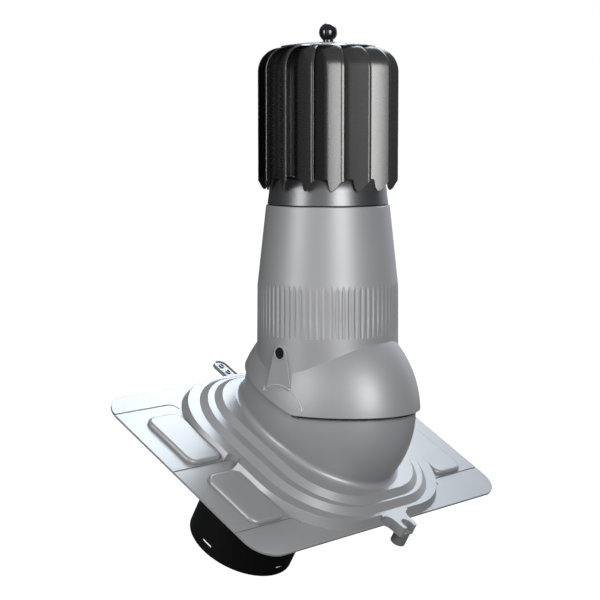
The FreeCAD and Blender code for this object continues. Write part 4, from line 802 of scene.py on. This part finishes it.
class VENT_OT_finishes(Operator):
    """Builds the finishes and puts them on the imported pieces"""

    bl_idname = "vent.finishes"
    bl_label = "Finishes"

    def execute(self, context):
        looks = context.scene.vent_finish
        groups = {"grain": make_grain_group(), "edge": make_edge_group(), "brush": make_brush_group(),
                  "dust": make_dust_group(), "gap": make_gap_shade_group()}
        grey = tuple(looks.moulded)
        black = tuple(looks.black)
        stack = tuple(PIVOT)
        by_slot = {
            "grey_plastic": moulded_plastic("Grey moulded plastic", groups, grey, 0.44, 0.8, edge=0.001,
                                           lift=1.9, dust=0.05),
            "dark_grey_plastic": moulded_plastic("Dark grey plastic", groups, tuple(looks.spacer), 0.45),
            "black_plastic": moulded_plastic("Black moulded plastic", groups, black, 0.5, 0.1, lift=2.5),
            "seal_rubber": soft_rubber("Seal rubber", groups, SEAL_COLOUR),
            "zinc_steel": sheet_metal("Zinc plated steel", groups, ZINC_COLOUR, 0.32, lift=1.3,
                                      along=200, across=200, lines=0.05),
            "bearing_steel": sheet_metal("Ground bearing steel", groups, BEARING_COLOUR, 0.16, lift=1.2,
                                         across=2500, lines=0.05, centre=stack),
            "satin_aluminium": sheet_metal("Satin collar metal", groups, tuple(looks.collar), 0.36,
                                           metallic=0.82, lines=0.05, centre=stack),
            "cap_metal": sheet_metal("Cap metal", groups, tuple(looks.cap), 0.28, metallic=0.9,
                                     lift=1.5, centre=stack),
            "gloss_black": moulded_plastic("Gloss black", groups, BALL_COLOUR, 0.12, 0.5,
                                           edge=0.0003, grain=0.03),
            "graphite_metal": sheet_metal("Graphite coated sheet", groups, tuple(looks.graphite), 0.26,
                                          metallic=0.65, coat=0.05, edge=0.0006, lift=6, along=900,
                                          across=900, lines=0.03, centre=stack, tint=0.35),
        }
        # The raised marks: a lighter copy of the grey plastic, a painted highlight on the beads
        moulded_plastic("Grey moulded marks", groups, tuple(c * MARK_HIGHLIGHT_LIFT for c in grey), 0.34, 0.5,
                        edge=0.0003)
        # The base plate's plastic, with shade painted into the gap under the hem and into fine grooves
        plastic_with_painted_shade = moulded_plastic("Grey moulded plastic under the hem", groups, grey, 0.34, 0.72,
                                    edge=0.0006, lift=2.2, dust=0.05, gap_at=stack)
        for part in frame["record"]["subparts"]:
            slots = NODES[part["node"]].material_slots
            finish = plastic_with_painted_shade if part["node"] == "base_plate" else by_slot[part["material_slot"]]
            for slot in slots:
                slot.material = finish
            if not slots:
                raise RuntimeError(part["node"] + " has no material slot")
        return {"FINISHED"}


# Studio


def towards(azimuth, elevation):
    """A direction seen from the object: azimuth to the right of the camera, elevation above level."""
    turn = math.radians(azimuth)
    rise = math.radians(elevation)
    level = TO_CAMERA * math.cos(turn) + TO_RIGHT * math.sin(turn)
    return level * math.cos(rise) + Vector((0, 0, math.sin(rise)))


def add_panel(name, azimuth, elevation, distance, wide, high, power, colour):
    """A soft box that faces the object."""
    data = bpy.data.lights.new(name, "AREA")
    data.shape = "RECTANGLE"
    data.size = wide
    data.size_y = high
    data.energy = power
    data.color = colour
    light = bpy.data.objects.new(name, data)
    bpy.context.scene.collection.objects.link(light)
    way = towards(azimuth, elevation)
    light.location = AIM + way * distance
    light.rotation_mode = "QUATERNION"
    light.rotation_quaternion = (-way).to_track_quat("-Z", "Y")


def add_floor(low):
    """A plain pale floor that stays pale for the camera and takes the object's soft shadow."""
    mesh = bpy.data.meshes.new("floor")
    plane = bmesh.new()
    bmesh.ops.create_grid(plane, x_segments=1, y_segments=1, size=FLOOR_HALF)
    plane.to_mesh(mesh)
    plane.free()
    floor = bpy.data.objects.new("floor", mesh)
    floor.location = (0, 0, low)
    bpy.context.scene.collection.objects.link(floor)
    made = bpy.data.materials.new("Pale floor")
    made.use_nodes = True
    tree = made.node_tree
    shader = tree.nodes["Principled BSDF"]
    shader.inputs["Base Color"].default_value = (FLOOR_GREY, FLOOR_GREY, FLOOR_GREY, 1)
    shader.inputs["Roughness"].default_value = FLOOR_ROUGHNESS
    shader.inputs["Specular IOR Level"].default_value = FLOOR_GLOSS
    shader.inputs["Emission Color"].default_value = (1, 1, 1, 1)
    path = tree.nodes.new("ShaderNodeLightPath")
    tree.links.new(path.outputs["Is Camera Ray"], shader.inputs["Emission Strength"])
    floor.data.materials.append(made)
    floor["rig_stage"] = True


def set_room(strength):
    """Even light all round, and plain white behind the object."""
    world = bpy.data.worlds.new("Studio")
    world.use_nodes = True
    bpy.context.scene.world = world
    tree = world.node_tree
    tree.nodes.clear()
    room = tree.nodes.new("ShaderNodeBackground")
    room.inputs["Color"].default_value = ROOM_COLOUR
    white = tree.nodes.new("ShaderNodeBackground")
    white.inputs["Color"].default_value = (1, 1, 1, 1)
    way = tree.nodes.new("ShaderNodeTexCoord").outputs["Generated"]
    split = tree.nodes.new("ShaderNodeSeparateXYZ")
    tree.links.new(way, split.inputs["Vector"])
    steep = math_node(tree, "ABSOLUTE", split.outputs["Z"], 0.0)
    brightness = map_range(tree, steep, ROOM_LEVEL, ROOM_STEEP, strength * ROOM_LEVEL_SHARE,
                           strength * ROOM_STEEP_SHARE)
    tree.links.new(brightness, room.inputs["Strength"])
    path = tree.nodes.new("ShaderNodeLightPath")
    mix = tree.nodes.new("ShaderNodeMixShader")
    out = tree.nodes.new("ShaderNodeOutputWorld")
    tree.links.new(path.outputs["Is Camera Ray"], mix.inputs["Fac"])
    tree.links.new(room.outputs["Background"], mix.inputs[1])
    tree.links.new(white.outputs["Background"], mix.inputs[2])
    tree.links.new(mix.outputs["Shader"], out.inputs["Surface"])


class VENT_OT_studio(Operator):
    """Sets the floor, the soft lights, the room and the camera"""

    bl_idname = "vent.studio"
    bl_label = "Studio"

    def execute(self, context):
        studio = context.scene.vent_studio
        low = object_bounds()[0].z
        for name, setting, azimuth, elevation, distance, wide, high, colour in PANELS:
            power = getattr(studio, setting)
            add_panel(name, azimuth, elevation, distance, wide, high, power, colour)
        add_floor(low)
        set_room(studio.room)
        data = bpy.data.cameras.new("camera")
        data.lens = studio.lens
        data.sensor_width = SENSOR_WIDTH
        data.clip_end = VIEW_END
        camera = bpy.data.objects.new("camera", data)
        context.scene.collection.objects.link(camera)
        camera.location = CAMERA_PLACE
        camera.rotation_mode = "QUATERNION"
        camera.rotation_quaternion = CAMERA_WAY.to_track_quat("-Z", "Y")
        context.scene.camera = camera
        context.scene.view_settings.view_transform = "Standard"
        return {"FINISHED"}


class VENT_PT_panel(Panel):
    """Lists the steps that build the vent"""

    bl_idname = "VENT_PT_panel"
    bl_label = "Roof Vent Pipe"
    bl_space_type = "VIEW_3D"
    bl_region_type = "UI"
    bl_category = "Vent"

    def draw(self, context):
        for step in STEPS:
            self.layout.operator(step.bl_idname)
        for settings in (context.scene.vent_rotor, context.scene.vent_marks,
                         context.scene.vent_finish, context.scene.vent_studio):
            box = self.layout.box()
            for name in settings.bl_rna.properties.keys():
                if name not in ("rna_type", "name"):
                    box.prop(settings, name)


SETTINGS = {"vent_rotor": VentRotorSettings, "vent_marks": VentMarkSettings,
            "vent_finish": VentFinishSettings, "vent_studio": VentStudioSettings}
STEPS = [VENT_OT_finishes, VENT_OT_blades, VENT_OT_tilt_arcs, VENT_OT_studio]


def register():
    """Makes the settings, the steps and the panel known to Blender."""
    for kind in [*SETTINGS.values(), *STEPS, VENT_PT_panel]:
        bpy.utils.register_class(kind)
    for name, kind in SETTINGS.items():
        setattr(bpy.types.Scene, name, PointerProperty(type=kind))


def unregister():
    """Takes them away again."""
    for name in SETTINGS:
        delattr(bpy.types.Scene, name)
    for kind in reversed([*SETTINGS.values(), *STEPS, VENT_PT_panel]):
        bpy.utils.unregister_class(kind)


def main():
    for thing in list(bpy.data.objects):
        if "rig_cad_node" not in thing and thing not in frame["bodies"].values():
            bpy.data.objects.remove(thing)
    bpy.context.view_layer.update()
    register()
    bpy.ops.vent.finishes()
    bpy.ops.vent.blades()
    bpy.ops.vent.tilt_arcs()
    bpy.ops.vent.studio()


if __name__ == "__main__":
    main()
